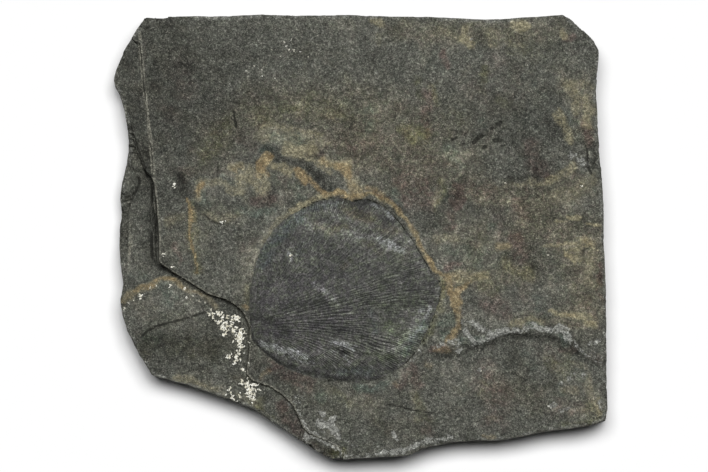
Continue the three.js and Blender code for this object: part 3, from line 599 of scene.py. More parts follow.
        ([(-45.4, -34.4), (-40.1, -35.3), (-35.2, -37)], 0.72, 0.45),
        ([(-29.4, -38.5), (-24, -40.9)], 0.83, 0.3),
        ([(-57.9, -15.8), (-56.4, -14.9), (-55.2, -13.4), (-53.2, -12.2)], 0.62, 0.4),
        ([(-53.2, -12.2), (-50.8, -11.5), (-47.9, -10.5), (-45, -10.7), (-43, -11.7)], 0.62, 0.45),
        ([(-43, -11.7), (-39.6, -13.4), (-37.2, -15.1), (-35.2, -17.1)], 0.52, 0.3),
        ([(16.9, 7.8), (18.6, 11), (20.1, 13.9)], 0.52, 0.3), ([(-2.1, -39.7), (1.8, -40.7)], 0.93, 0.15),
        ([(3.8, -43.1), (4.8, -46.1)], 0.72, 0.15), ([(12.3, -39), (13.8, -40.7)], 0.62, 0.25),
        ([(14, -44.1), (16.9, -45.1)], 0.83, 0.15), ([(-47.4, 3.9), (-45.9, 4.1), (-44, 4.9)], 0.72, 0.3),
        ([(34, -2.7), (35.9, -2.7)], 0.72, 0.5), ([(-9.4, 9.9), (-5, 10.6), (-2.1, 10.5)], 0.47, 0.8),
        ([(-2.1, 10.4), (2.8, 10.2), (6.7, 9), (9.4, 6.3)], 0.37, 0.7),
        ([(9.4, 6.3), (12.1, 2.2), (14.5, -1.9), (17.4, -7.1)], 0.43, 0.55),
        ([(-24, -0.7), (-21.1, 2.7), (-17.2, 5.6)], 0.52, 0.45),
        ([(19.4, -12.9), (19.6, -15.8), (18.9, -18.3)], 0.41, 0.4),
    ],
    "rust": [
        ([(-23, 19.6), (-22.1, 19.2)], 0.57, 1.35), ([(-23.5, 18.8), (-24.5, 17.8)], 0.72, 1.3),
        ([(-22.5, 18.8), (-23.5, 17.8)], 0.57, 1.15), ([(-25, 17.1), (-24.2, 16.3)], 0.52, 1.3),
        ([(-25.5, 15.8), (-24.7, 14.9)], 0.41, 0.55), ([(-23.5, 15.8), (-22.8, 15.1)], 0.41, 0.6),
        ([(-15.5, 16.3), (-14.5, 15.4)], 0.62, 1.1), ([(-14.7, 15.1), (-13.8, 13.9)], 0.72, 0.95),
        ([(-13.5, 14.6), (-11.8, 13.4)], 0.41, 0.75),
        ([(-11.8, 13.4), (-9.9, 11.7), (-8.4, 10.7)], 0.33, 0.85),
        ([(-8.9, 10.1), (-6.5, 10.6)], 0.31, 0.7), ([(-6.2, 10.5), (-3.8, 10.6)], 0.39, 1.25),
        ([(-3.5, 10.2), (-1.1, 10.1), (1.3, 10.5)], 0.31, 0.95), ([(-2.1, 11.5), (0.4, 11)], 0.52, 0.55),
        ([(0.9, 10.6), (3.8, 10.5), (6.2, 9.5)], 0.27, 0.7),
        ([(6.2, 9.5), (8.2, 7.8), (9.4, 6.1)], 0.25, 0.75), ([(9.6, 5.8), (10.8, 4.4)], 0.27, 0.6),
        ([(10.8, 4.4), (12.5, 1.7), (13.3, 0)], 0.29, 0.6), ([(12.5, 2.7), (13.5, 1.2)], 0.35, 0.6),
        ([(13.5, -0.2), (15, -2.4), (16.4, -4.9)], 0.35, 0.7), ([(16.9, -6.1), (17.9, -7.8)], 0.43, 0.9),
        ([(18.2, -8), (20.1, -9), (21.6, -9.5)], 0.43, 0.75), ([(-9.6, 18.5), (-7.9, 17.8)], 0.72, 0.6),
        ([(-5.7, 17.5), (-4, 17.1), (-3, 15.4)], 0.83, 1), ([(-2.1, 12.9), (-0.1, 11)], 0.93, 0.5),
        ([(1.8, 12.2), (5.2, 11)], 0.52, 0.5), ([(-31.3, 17.1), (-30.3, 16.1)], 0.37, 0.55),
        ([(-29.8, 17.3), (-28.4, 16.8)], 0.31, 0.45), ([(-38.9, 12.9), (-39.4, 11.5)], 0.43, 1),
        ([(-39.6, 11.2), (-39.4, 10)], 0.31, 0.75),
        ([(-42, 9.3), (-41.8, 6.1), (-41.3, 2.2)], 0.21, 1.15),
        ([(-41.3, 2.2), (-41.1, -1.2), (-40.4, -5.1)], 0.17, 0.95),
        ([(-40.4, -5.6), (-40.1, -8.5)], 0.17, 0.7),
        ([(-41.5, 8.3), (-40.8, 6.1), (-40.6, 3.7)], 0.27, 0.45),
        ([(21.1, -10.2), (21.8, -11.7)], 0.52, 0.7), ([(21.6, -12.4), (22.3, -13.6)], 0.57, 0.75),
        ([(22.1, -13.6), (23.3, -14.1)], 0.67, 1.05), ([(23.8, -12.9), (25.2, -12.4)], 0.62, 0.95),
        ([(25.7, -11.5), (26.7, -11.2)], 0.41, 0.6), ([(23, -14.9), (23.8, -16.3)], 0.78, 1),
        ([(22.8, -16.8), (23.5, -18)], 0.62, 0.8), ([(23.5, -18.5), (24, -20)], 0.52, 0.6),
        ([(23.8, -20.2), (23.8, -22.2)], 0.52, 0.6),
        ([(23.3, -22.9), (23, -24.1), (21.8, -24.9)], 0.62, 0.8),
        ([(21.6, -8.8), (23.5, -9.7)], 0.41, 0.4),
        ([(-58.1, -16.1), (-56.6, -15.1), (-55.4, -13.6)], 0.52, 0.35),
        ([(-54.9, -12.9), (-53.2, -11.9)], 0.35, 0.8), ([(-52.5, -11.9), (-50.8, -11.6)], 0.43, 0.7),
        ([(-50.3, -11), (-48.9, -10.5)], 0.33, 0.7), ([(-48.4, -10.5), (-45.2, -10.5)], 0.33, 1),
        ([(-45, -10.7), (-43.5, -11.9), (-42.3, -12.7)], 0.35, 0.6),
        ([(-42, -12.9), (-39.6, -13.6), (-37.6, -14.6)], 0.31, 0.4),
        ([(-37.2, -15.4), (-35.7, -16.8)], 0.62, 0.3), ([(-28.4, -16.8), (-27.4, -17.5)], 0.41, 0.6),
        ([(54.5, -0.7), (56.4, -1.7)], 0.52, 0.4), ([(50.1, -4.1), (51.8, -5.6)], 0.31, 0.4),
        ([(46.2, -1.6), (47.9, -2.1)], 0.21, 0.2), ([(54.7, 3.4), (57.4, 2.9)], 0.21, 0.2),
        ([(50.1, -18.5), (52.5, -19.1)], 0.21, 0.5), ([(55.4, -20.5), (56.4, -21.2)], 0.31, 0.4),
        ([(33.7, -2.2), (35.9, -2.4)], 0.52, 0.5),
        ([(-9.4, -35.8), (-7.9, -37.8), (-6.9, -39.2)], 0.72, 0.12),
        ([(-24, -34.4), (-22.5, -32.4)], 0.52, 0.35), ([(8.2, -35.8), (9.1, -36.5)], 0.52, 0.35),
        ([(15.7, -30.7), (17.2, -31.4)], 0.62, 0.3), ([(31.1, -43.9), (32.8, -44.3)], 0.52, 0.25),
        ([(49.6, -36.8), (52.5, -37.3)], 0.62, 0.25), ([(55.9, -33.4), (56.4, -38.7)], 0.52, 0.2),
        ([(53.5, -42.2), (58.4, -42.2)], 0.41, 0.2), ([(29.8, -48.6), (32.8, -48.7)], 0.31, 0.4),
        ([(18.4, -27.5), (21.3, -27.5)], 0.62, 0.5), ([(-39.1, -35.8), (-35.7, -36.8)], 0.41, 0.2),
        ([(30.1, -10.2), (28.6, -9.5)], 0.41, 0.3), ([(9.4, 7.1), (10.1, 5.6)], 0.21, 0.6),
        ([(-5, 9.7), (-2.1, 9.4), (0.4, 9.5)], 0.19, 0.7), ([(16.4, -4.9), (17.2, -6.1)], 0.31, 0.9),
    ],
    "chalk": [
        ([(-16.6, -40.9), (-15.7, -40), (-14.5, -39.7)], 0.73, 0.5),
        ([(-15.3, -41.9), (-14.5, -44.1), (-13.6, -46.1), (-12.7, -47.4)], 0.16, 1.1),
        ([(-13.3, -48.9), (-12.7, -47.8)], 0.67, 1.25), ([(-12.1, -48.4), (-10.8, -48.2)], 0.67, 1.2),
        ([(-10.1, -49), (-8.4, -49.9), (-6.7, -50.9), (-5.2, -51.8)], 0.39, 1.15),
        ([(-9.9, -45.3), (-8.9, -45.8)], 0.73, 1.1),
        ([(-8.2, -45.8), (-6.9, -46.3), (-6, -47.3)], 0.61, 1.2),
        ([(-5.7, -47.5), (-5.2, -48.5)], 0.49, 0.95), ([(-7.2, -44.8), (-6.2, -44.1)], 0.56, 0.95),
        ([(-9.6, -43), (-8.9, -43.4)], 0.37, 1.3), ([(-9.6, -47.3), (-8.6, -47.7)], 0.24, 0.7),
        ([(-3.8, -49.7), (-2.6, -50.4), (-0.9, -50.9)], 0.49, 0.4),
        ([(-3.8, -53.2), (-2.8, -53.6)], 0.29, 1), ([(-3.8, -53.4), (-2.1, -53.6), (6, -53)], 0.32, 0.75),
        ([(6, -52.6), (10.6, -52.1), (13.5, -50.7), (16.9, -49.7), (21.8, -49.1)], 0.46, 1),
        ([(18.4, -49.5), (21.3, -48.7)], 0.49, 0.5), ([(7.9, -47.5), (8.9, -49.5)], 0.27, 0.8),
        ([(3.5, -50.2), (4.8, -52.4)], 0.24, 0.5), ([(51.5, 19.7), (53, 18.8), (54.7, 18)], 0.85, 0.8),
        ([(12.1, -30.5), (14.5, -28)], 0.61, 0.4), ([(18.4, -26.3), (19.9, -26.3)], 0.61, 0.8),
        ([(22.3, -25.3), (24, -26.1), (24, -27.5)], 0.73, 0.75),
        ([(25, -18.8), (25.9, -19.7)], 0.49, 0.55),
        ([(25.2, -20.5), (26.9, -20.5), (28.1, -21.4)], 0.56, 0.8),
        ([(28.4, -21.7), (30.8, -22.9), (32.3, -23.9)], 0.49, 0.85),
        ([(25.7, -22.7), (26.7, -24.6), (27.7, -26.3)], 0.51, 0.85),
        ([(28.6, -25.6), (31.6, -24.6), (33.5, -23.4)], 0.51, 0.85),
        ([(32.3, -23.9), (34, -23), (36.9, -22.8), (39.8, -22.7)], 0.54, 1),
        ([(40.3, -22.3), (42.5, -21.8), (45.2, -22.3), (47.1, -22.9)], 0.61, 0.85),
        ([(47.1, -22.9), (48.6, -21.9), (49.8, -22.4)], 0.61, 0.9),
        ([(49.3, -22.9), (50.3, -24.4)], 0.67, 0.95), ([(50.6, -24.6), (51.8, -25.6)], 0.49, 0.8),
        ([(51.8, -25.6), (53.2, -27)], 0.37, 0.7), ([(53.5, -27.5), (55.9, -28.8)], 0.32, 0.6),
        ([(55.9, -28.3), (57.4, -29.5), (59.3, -30.2)], 0.61, 0.6),
        ([(57.9, -25.3), (55.9, -25.8)], 0.49, 0.5), ([(52.5, -33.1), (54.2, -34.1)], 0.73, 0.5),
        ([(48.6, -35.8), (50.6, -34.8), (52, -33.9)], 0.37, 0.5),
        ([(46.7, -41.2), (47.6, -40.7)], 0.49, 0.8), ([(48.6, -42.4), (52.3, -41.9)], 0.37, 0.5),
        ([(29.1, -32.6), (30.1, -32.9)], 0.49, 0.4), ([(58.4, -40.4), (58.8, -41.4)], 0.61, 0.6),
        ([(26.7, 47.5), (27.7, 48)], 0.49, 0.5),
    ],
    "crack": [
        ([(-55.9, 26.8), (-55.4, 24.6), (-54.7, 21.9), (-53.7, 19.5), (-52.8, 17.3),
          (-51.8, 14.6)], 0.27, 1),
        ([(-54, 14.4), (-54.1, 12.9), (-55.2, 10.7), (-56.2, 8.8), (-56.5, 7.6)], 0.22, 1),
        ([(-53, 50.4), (-51.5, 51.2), (-49.6, 51.9), (-46.9, 52.4)], 0.15, 0.6),
        ([(-56.6, 7.6), (-56.9, 3.7), (-57, -0.2)], 0.18, 0.8),
        ([(-57, -0.2), (-57.1, -3.2)], 0.15, 0.45),
        ([(-57.4, -8.5), (-57.6, -11), (-57.1, -13.4)], 0.18, 0.6),
        ([(-51, 10.7), (-50.9, 2.9), (-50.8, -5.1)], 0.27, 0.8),
        ([(-56.9, -8.8), (-55.9, -10.5), (-54.7, -12.4)], 0.19, 0.5),
        ([(-30.9, 30.7), (-30.7, 29), (-30.3, 26.8)], 0.18, 1),
        ([(-30.1, 26.6), (-29.8, 23.6), (-28.4, 22.2)], 0.12, 0.4),
        ([(-34.8, 17.3), (-35, 14.1)], 0.15, 0.8),
        ([(-53.2, -24.1), (-52, -22.9), (-49.3, -21.6), (-46.9, -21), (-44, -20.2),
          (-40.3, -19.2), (-37.9, -18.3)], 0.18, 0.9),
        ([(-53, -25.3), (-50.8, -28), (-48.9, -30.5), (-46.9, -32.9), (-46.2, -34.1)], 0.15, 0.45),
        ([(-45.9, -33.9), (-41.5, -32.8), (-38.4, -31.7)], 0.15, 0.55),
        ([(-38.4, -31.7), (-33.7, -30.7)], 0.12, 0.35),
        ([(-38.4, 5.6), (-36.7, 4.1), (-35, 3.4), (-33.3, 3.2)], 0.17, 0.8),
        ([(54.9, 22.4), (55.2, 20.7), (55.4, 17.3), (56.2, 15.4)], 0.19, 0.9),
        ([(56.9, 22.7), (57.1, 18.8)], 0.15, 0.6),
        ([(6.5, -40.7), (9.6, -41.2), (12.5, -42.2), (15.5, -42.6), (18.4, -43.1)], 0.16, 0.8),
        ([(27.9, 32.4), (30.1, 31.7), (33, 31.2)], 0.12, 0.45),
        ([(42, 32.4), (44, 31.7), (45.7, 31.2), (49.1, 32.4)], 0.13, 0.5),
        ([(-54.7, -0.2), (-54.5, -6.1)], 0.12, 0.2),
        ([(19.6, 7.6), (21.1, 10.5), (22.5, 13.6), (24.7, 16.1)], 0.17, 0.3),
        ([(-26.2, -25.3), (-24, -27), (-22.1, -28.8)], 0.17, 0.8),
        ([(34, -41.7), (41.3, -42.6), (47.4, -43.1)], 0.12, 0.3),
    ],
    "pits": [
        ([(22.5, 23.6), (23.5, 23.9)], 0.32, 0.8), ([(25, 22.7), (25.5, 22.9)], 0.24, 0.7),
        ([(27.7, 23.1), (28.6, 24.1), (29.8, 24.7)], 0.29, 1), ([(29.8, 21.7), (30.3, 21.9)], 0.29, 1),
        ([(32.5, 23.4), (34.2, 23.6)], 0.32, 1), ([(33.3, 27.5), (34.2, 28)], 0.32, 1),
        ([(32, 26.6), (32.3, 26.8)], 0.22, 0.8), ([(30.6, 17.1), (30.8, 16.8)], 0.22, 0.6),
        ([(34.2, 22.2), (35, 22.4)], 0.24, 0.7), ([(33.5, 25.8), (33.7, 25.8)], 0.19, 0.6),
        ([(25.2, 24.9), (25.7, 25.1)], 0.22, 0.7), ([(21.6, 25.3), (21.8, 25.3)], 0.17, 0.5),
        ([(34, 14.9), (34.2, 14.6)], 0.22, 0.5), ([(-19.4, -41.7), (-19.1, -41.9)], 0.19, 0.4),
    ],
    "groove": [
        ([(-25, 21.4), (-22.1, 20.5), (-19.1, 19), (-16.4, 17.5)], 0.49, 0.3),
        ([(-14.7, 18.3), (-13.3, 16.3), (-10.8, 14.4), (-8.4, 12.4), (-6.7, 11)], 0.49, 0.35),
        ([(-42.3, 10), (-42, 6.1), (-41.9, 2.2), (-41.5, -0.7), (-41.1, -5.1), (-40.3, -9.3)], 0.29, 0.35),
        ([(35.9, 14.3), (41.3, 14.1), (46.7, 14.4)], 0.37, 0.4),
        ([(19.4, 7.3), (20.6, 10.5), (22.3, 13.6), (24.2, 16.1)], 0.37, 0.25),
        ([(26.7, 7.1), (30.1, 7.1), (33.5, 6.6)], 0.49, 0.3), ([(-43, 11.9), (-41.1, 9.7)], 0.61, 0.5),
        ([(41.1, 7.6), (41.5, 3.2), (41.5, -0.7), (42.3, -8.5)], 0.37, 0.25),
        ([(48.6, 21.2), (51.5, 19.2)], 0.37, 0.2), ([(51.5, -26.6), (54, -29)], 0.49, 0.4),
        ([(12.5, -32.9), (15.7, -29.5)], 0.49, 0.2),
        ([(-51.3, -13.4), (-41.5, -15.4), (-37.2, -17.5)], 0.49, 0.2),
    ],
    "ridge": [
        ([(-18.6, 3.7), (-22.5, -1.5), (-25.9, -6.8), (-27.7, -11.7), (-28.6, -15.4)], 0.73, 0.8),
        ([(-8.4, 11.2), (-2.1, 11), (4.8, 10.5), (8.4, 7.6), (12.5, 1.5), (16.4, -5.1),
          (19.4, -9.5)], 0.49, 0.45),
        ([(-23.8, 19.2), (-24, 16.3)], 0.85, 0.4), ([(-9.4, 17.8), (-3.5, 17.5)], 0.85, 0.4),
        ([(-16.2, 20.7), (-13.3, 21.2)], 0.97, 0.3),
        ([(25, -19.2), (28.6, -21.9), (32, -23.4), (36.9, -22.7), (42.8, -22.2),
          (47.6, -22.2), (50.1, -23.6)], 0.49, 0.5),
        ([(34, 12.2), (41.3, 12.9), (47.6, 13.9), (51.5, 16.1)], 0.61, 0.35),
        ([(-41.3, 5.6), (-41.1, -0.7), (-40.1, -7.6)], 0.37, 0.25),
        ([(22.3, -14.9), (25.2, -12.2)], 0.73, 0.35), ([(14.5, -26.6), (9.6, -33.9)], 0.73, 0.5),
        ([(-10.4, -45.6), (-6, -48)], 1.1, 0.4), ([(26.7, 8.3), (32.5, 8)], 0.37, 0.35),
        ([(19.4, 14.9), (22.3, 14.6), (25.2, 15.8)], 0.49, 0.35),
        ([(20.8, 12.9), (17.9, 7.6)], 0.73, 0.3), ([(50.1, -3.2), (56.4, -1.5)], 0.49, 0.3),
    ],
}


def regionMasks(x, y):
    facet = inside(facetOutline, x, y)
    lower = inside(lowerOutline, x, y)
    return {
        "facet": facet & ~lower,
        "lower": lower & ~inside(footOutline, x, y) & ~inside(lipOutline, x, y),
        "foot": inside(footOutline, x, y) & lower,
        "lip": inside(lipOutline, x, y) & lower,
        "flake": inside(flakeOutline, x, y) & ~lower,
    }


def faceHeight(x, y, regions):
    height = upperFace(x, y)
    height = np.where(regions["flake"], np.minimum(height, flakeFace(x, y)), height)
    height = np.where(regions["facet"], facetFace(x, y), height)
    height = np.where(regions["lower"], lowerFace(x, y), height)
    height = np.where(regions["foot"], footFace(x, y), height)
    return np.where(regions["lip"], lipFace(x, y), height)


def splitRelief(x, y, regions):
    # Thin steps and grain of the split faces, in millimetres
    look = slabLook
    steps = terraced(fractal(x / 19 + 3, y / 12 - 2), 3) * look["terrace"]
    fine = look["grain"] * fractal(x / 1.9, y / 1.9)
    streaks = look["streaks"] * fractal((x + y) / 2.3, (x - y) / 7.5)
    scabs = look["scabs"] * terraced(fractal(x / 3.4 + 7, y / 3 + 1), 2, 0.2)
    scabs = scabs * smooth(fractal(x / 15, y / 12 + 5), -0.1, 0.5)
    upper = steps + fine + streaks + scabs
    slivers = look["slivers"] * terraced(fractal(x / 1.7 + 9 + 0.12 * y, y / 9), 3)
    slivers = slivers + 0.25 * fractal(x / 1.1, y / 3)
    shoulder = look["shoulder"] * terraced(fractal(x / 8 + 5, y / 5 + 0.3 * x / 8), 3) + 1.4 * fine
    relief = np.where(regions["facet"], 1.5 * fine + 0.12 * fractal(x / 3, y / 7), upper)
    relief = np.where(regions["lower"], np.where(y > -9, slivers, shoulder), relief)
    relief = np.where(regions["foot"] | regions["lip"], slivers, relief)
    relief = relief - look["crackDepth"] * strokeMask(stainsAndShade["crack"], x, y)
    relief = relief - look["pitDepth"] * strokeMask(stainsAndShade["pits"], x, y, 0.3)
    relief = relief - look["grooveDepth"] * strokeMask(stainsAndShade["groove"], x, y, 0.4)
    return relief + look["ridgeHeight"] * strokeMask(stainsAndShade["ridge"], x, y, 0.5)


def remeshedSlab():
    look = slabLook
    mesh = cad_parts["shale_slab"].data.copy()
    bm = bmesh.new()
    bm.from_mesh(mesh)
    bmesh.ops.remove_doubles(bm, verts=bm.verts, dist=1e-6)
    bmesh.ops.recalc_face_normals(bm, faces=bm.faces)
    bm.to_mesh(mesh)
    bm.free()
    mesh.materials.clear()
    piece = newPiece("shale_matrix", mesh)
    remesh = piece.modifiers.new("facets", "REMESH")
    remesh.mode = "VOXEL"
    remesh.voxel_size = look["voxel"] * mm
    remesh.adaptivity = 0
    bakeModifiers(piece)
    return piece


def flakeStep(x, y, away, regions):
    # The short rough slope at the missing flake's edge
    signed = np.where(regions["flake"], -away, away) + 0.5 * fractal(x / 1.6, y / 1.6)
    return upperFace(x, y) - slabLook["flakeStep"] * flakeOpening(x) * (1 - smooth(signed, -0.9, 0.1))


def rimWear(x, y, rim, wall, regions):
    look = slabLook
    chips = smooth(fractal(x / 2.1, y / 2.1), 0.0, 0.6)
    wear = look["rimWear"] * (0.45 + 1.1 * chips) * np.exp(-(rim / (0.45 + 0.4 * chips)) ** 2)
    return wear + look["edgeWear"] * (0.6 + chips) * np.exp(-(wall / 0.5) ** 2) * ~regions["lower"]


def shapeSplitFaces(points, normals):
    # Upward faces take their exact bedding plane and its fine relief
    look = slabLook
    x, y, z = points.T
    upright = normals[:, 2]
    regions = regionMasks(x, y)
    lower, foot, lip = regions["lower"], regions["foot"], regions["lip"]
    rim, wall = distanceTo(slabOutline, x, y, True), distanceTo(upperEdge, x, y)
    fromFlake = distanceTo(flakeEdge, x, y)
    onFlakeEdge = (fromFlake < look["flakeBand"]) & (rim > 0.8) & (z > slabTop - 2.5) & ~lower
    target = faceHeight(x, y, regions)
    step = flakeStep(x, y, fromFlake, regions)
    settle = smooth(fromFlake, 0.9, look["flakeBand"])
    target = np.where(onFlakeEdge, step * (1 - settle) + target * settle, target)

    # The crack beside the foot is filled up, and the lip and the foot's lower end are raised
    besideCrack = (distanceTo(footEdge, x, y) < 0.7) & (rim > 0.7) & (y > 9)
    z = np.where(besideCrack, np.maximum(z, target - 0.8), z)
    raised = (lip | (foot & (y < 0))) & (z > slabTop - 9)
    raised = raised & (upright > np.where(rim > 0.6, -0.2, 0.45))
    z = np.where(raised, np.maximum(z, target - 0.1), z)

    level = np.where(lower, 0.45, 0.72)
    near = np.where(lower, 1.3, np.where(foot, 1.5, 0.7))
    facesUp = ((upright > level) & (np.abs(z - target) < near)) | onFlakeEdge
    gap = np.exp(-((wall - 0.4) / 0.7) ** 2) * smooth(y, -8, -3) * lower
    wear = rimWear(x, y, rim, wall, regions)
    shaped = target + splitRelief(x, y, regions) - wear - look["crevice"] * gap
    points[:, 2] = np.where(facesUp, shaped, z)
    return facesUp


def layerInset(x, y, z):
    # How far each thin layer of the broken sides is set back, 0 to about 1
    level = (z + 0.35 * fractal(x / 9, y / 9)) / slabLook["layerThickness"]
    layer = np.floor(level)
    along = x - 0.8 * y
    setBack = 0.5 + 0.5 * roughness(layer * 3.7 + 0.5, along / 6 + layer * 1.3)
    notch = 0.5 + 0.5 * roughness(layer * 1.9 + 40.5, along / 1.7 - layer * 2.1)
    crease = smooth(np.abs(level - layer - 0.5), 0.3, 0.5)
    return 0.6 * setBack ** 1.5 + 0.35 * notch + 0.3 * crease


def shapeSides(points, normals, facesUp):
    # The outer wall follows the outline, the inner walls keep their place; both show thin layers
    look = slabLook
    x, y, z = points.T
    inset = look["layerDepth"] * layerInset(x, y, z)
    px, py = nearestOn(slabOutline, x, y)
    away = np.hypot(x - px, y - py)
    atRim = faceHeight(px, py, regionMasks(px, py))
    outer = (away < 2.2) & (z < atRim + 0.9) & ~facesUp & (np.abs(normals[:, 2]) < 0.8)
    inward = np.stack([x - px, y - py], -1) / np.maximum(away, 1e-6)[:, None]
    nicks = look["nicks"] * np.maximum(fractal((px - 0.8 * py) / 2.2, (py + z) / 3.1), 0)
    onOutline = np.stack([px, py], -1) + inward * (inset + nicks - look["swell"])[:, None]
    steep = smooth(1 - np.abs(normals[:, 2]), 0.3, 0.75) * ~facesUp * ~outer
    outward = normals[:, :2] / np.maximum(np.linalg.norm(normals[:, :2], axis=1), 1e-6)[:, None]
    points[:, :2] = np.where(outer[:, None], onOutline, points[:, :2] - outward * (inset * steep)[:, None])


def sinkDish(points, facesUp):
    # The stone under the leaf is lower, and its wall follows the margin
    x, y, z = points.T
    under = inside(leafOutline, x, y)
    away = distanceTo(leafOutline, x, y, True)
    onMargin = facesUp & (away < 0.27)
    px, py = nearestOn(leafOutline, x, y)
    points[:, 0] = np.where(onMargin, px, x)
    points[:, 1] = np.where(onMargin, py, y)
    sunk = leafFace(x, y) - slabLook["dishDepth"]
    inDish = under & ~onMargin & (z > slabTop - 3)
    points[:, 2] = np.where(inDish, np.minimum(sunk, z), np.where(onMargin, upperFace(px, py), z))
    return inDish


def shapeUnderside(points, normals):
    x, y, z = points.T
    facesDown = (normals[:, 2] < -0.72) & (z < 0.8)
    hollow = terraced(np.clip(0.35 + fractal(x / 16 + 2, y / 13), 0, 1.5), 3) * slabLook["hollow"]
    hollow = hollow + 0.5 * np.exp(-(distanceTo(slabOutline, x, y, True) / 1.6) ** 2)
    points[:, 2] = np.where(facesDown, hollow + 0.05 * np.abs(roughness(x / 2, y / 2)), z)
    points[:, 2] -= points[facesDown, 2].min()
    return facesDown


def thinUnderside(piece, facesDown):
    group = piece.vertex_groups.new(name="underside")
    group.add(np.flatnonzero(facesDown).tolist(), 1.0, "REPLACE")
    thin = piece.modifiers.new("thin", "DECIMATE")
    thin.decimate_type = "COLLAPSE"
    thin.vertex_group = "underside"
    share = facesDown.mean()
    thin.ratio = 1 - share * (1 - slabLook["undersideKeep"])
    mesh = bakeModifiers(piece)
    piece.vertex_groups.clear()
    return mesh


def paintSlab(mesh):
    x, y = readVertices(mesh).T[:2]
    upright = readNormals(mesh)[:, 2]
    regions = regionMasks(x, y)
    upward = smooth(upright, 0.35, 0.75)
    for name, (stray, soft) in slabLook["strokeEdges"].items():
        storeMask(mesh, name, strokeMask(stainsAndShade[name], x, y, stray, soft) * upward)
    lower = regions["lower"] | regions["foot"] | regions["lip"]
    storeMask(mesh, "edgeDistance", np.where(lower, -1, 1) * distanceTo(upperEdge, x, y))
    storeMask(mesh, "rimDistance", distanceTo(slabOutline, x, y, True))
    storeMask(mesh, "sideways", 1 - smooth(np.abs(upright), 0.45, 0.8))


def buildSlab():
    piece = remeshedSlab()
    points, normals = readVertices(piece.data), readNormals(piece.data)
    facesUp = shapeSplitFaces(points, normals)
    shapeSides(points, normals, facesUp)
    sinkDish(points, facesUp)
    facesDown = shapeUnderside(points, normals)
    writeVertices(piece.data, points)
    mesh = thinUnderside(piece, facesDown)
    setSmooth(mesh)
    paintSlab(mesh)
    print("slab: faces", len(mesh.polygons))
    return piece


# The leaf

leafLook = {
    "columns": 1400,
    "rows": 66,
    "baseVeins": 15,
    "veinHeight": 0.075,        # mm, from trough to ridge
    "swell": 0.1,               # mm, height of the leaf's broad unevenness
    "grain": 0.02,
    "wobble": 0.42,             # mm, how far a vein strays
    "baseWidth": 7,             # mm across all the veins at the base
    "spread": 140,              # mm more at the margin
    "tuck": 0.35,               # mm, reach of the leaf's body under the wall around it
    "body": 0.5,                # mm, thickness of the piece at its margin
    "forks": ((0.07, 0.08), (0.2, 0.14), (0.4, 0.16), (0.63, 0.2)),     # start and spread of each
}


def marginPoint(share):
    points = np.array(leafMargin)
    runs = np.concatenate([[0], np.cumsum(np.hypot(*np.diff(points, axis=0).T))])
    at = share * runs[-1]
    return np.stack([np.interp(at, runs, points[:, 0]), np.interp(at, runs, points[:, 1])], -1)


def leafPoint(across, out):
    upper, lower = np.array(leafBase)
    across, out = across[:, None], out[:, None]
    start = upper * (1 - across) + lower * across
    end = marginPoint(across[:, 0])
    tip = marginPoint(np.array([0.5]))
    bend = (start * 0.66 + tip * 0.34) * 0.67 + end * 0.33
    sideways = np.abs(2 * across - 1) ** 3
    control = bend * (1 - sideways) + (start + end) / 2 * sideways
    return start * (1 - out) ** 2 + 2 * control * out * (1 - out) + end * out ** 2


def veinRelief(across, out):
    # Each ridge forks again and again on its way to the margin, at its own distance
    turns = [2 * np.pi * leafLook["baseVeins"] * across]
    opened = []
    for k, (start, spread) in enumerate(leafLook["forks"]):
        fork = start + spread * (0.5 + 0.5 * latticeValue(np.round(turns[-1] / (2 * np.pi)), 3.0 + 5 * k))
        opened.append(smooth(out, fork, fork + 0.05))
        turns.append(2 * turns[-1] + np.pi)
    wave = np.cos(turns[-1])
    for turn, share in zip(turns[-2::-1], opened[::-1]):
        wave = (1 - share) * np.cos(turn) + share * wave
    return (0.5 + 0.5 * wave) ** 0.8


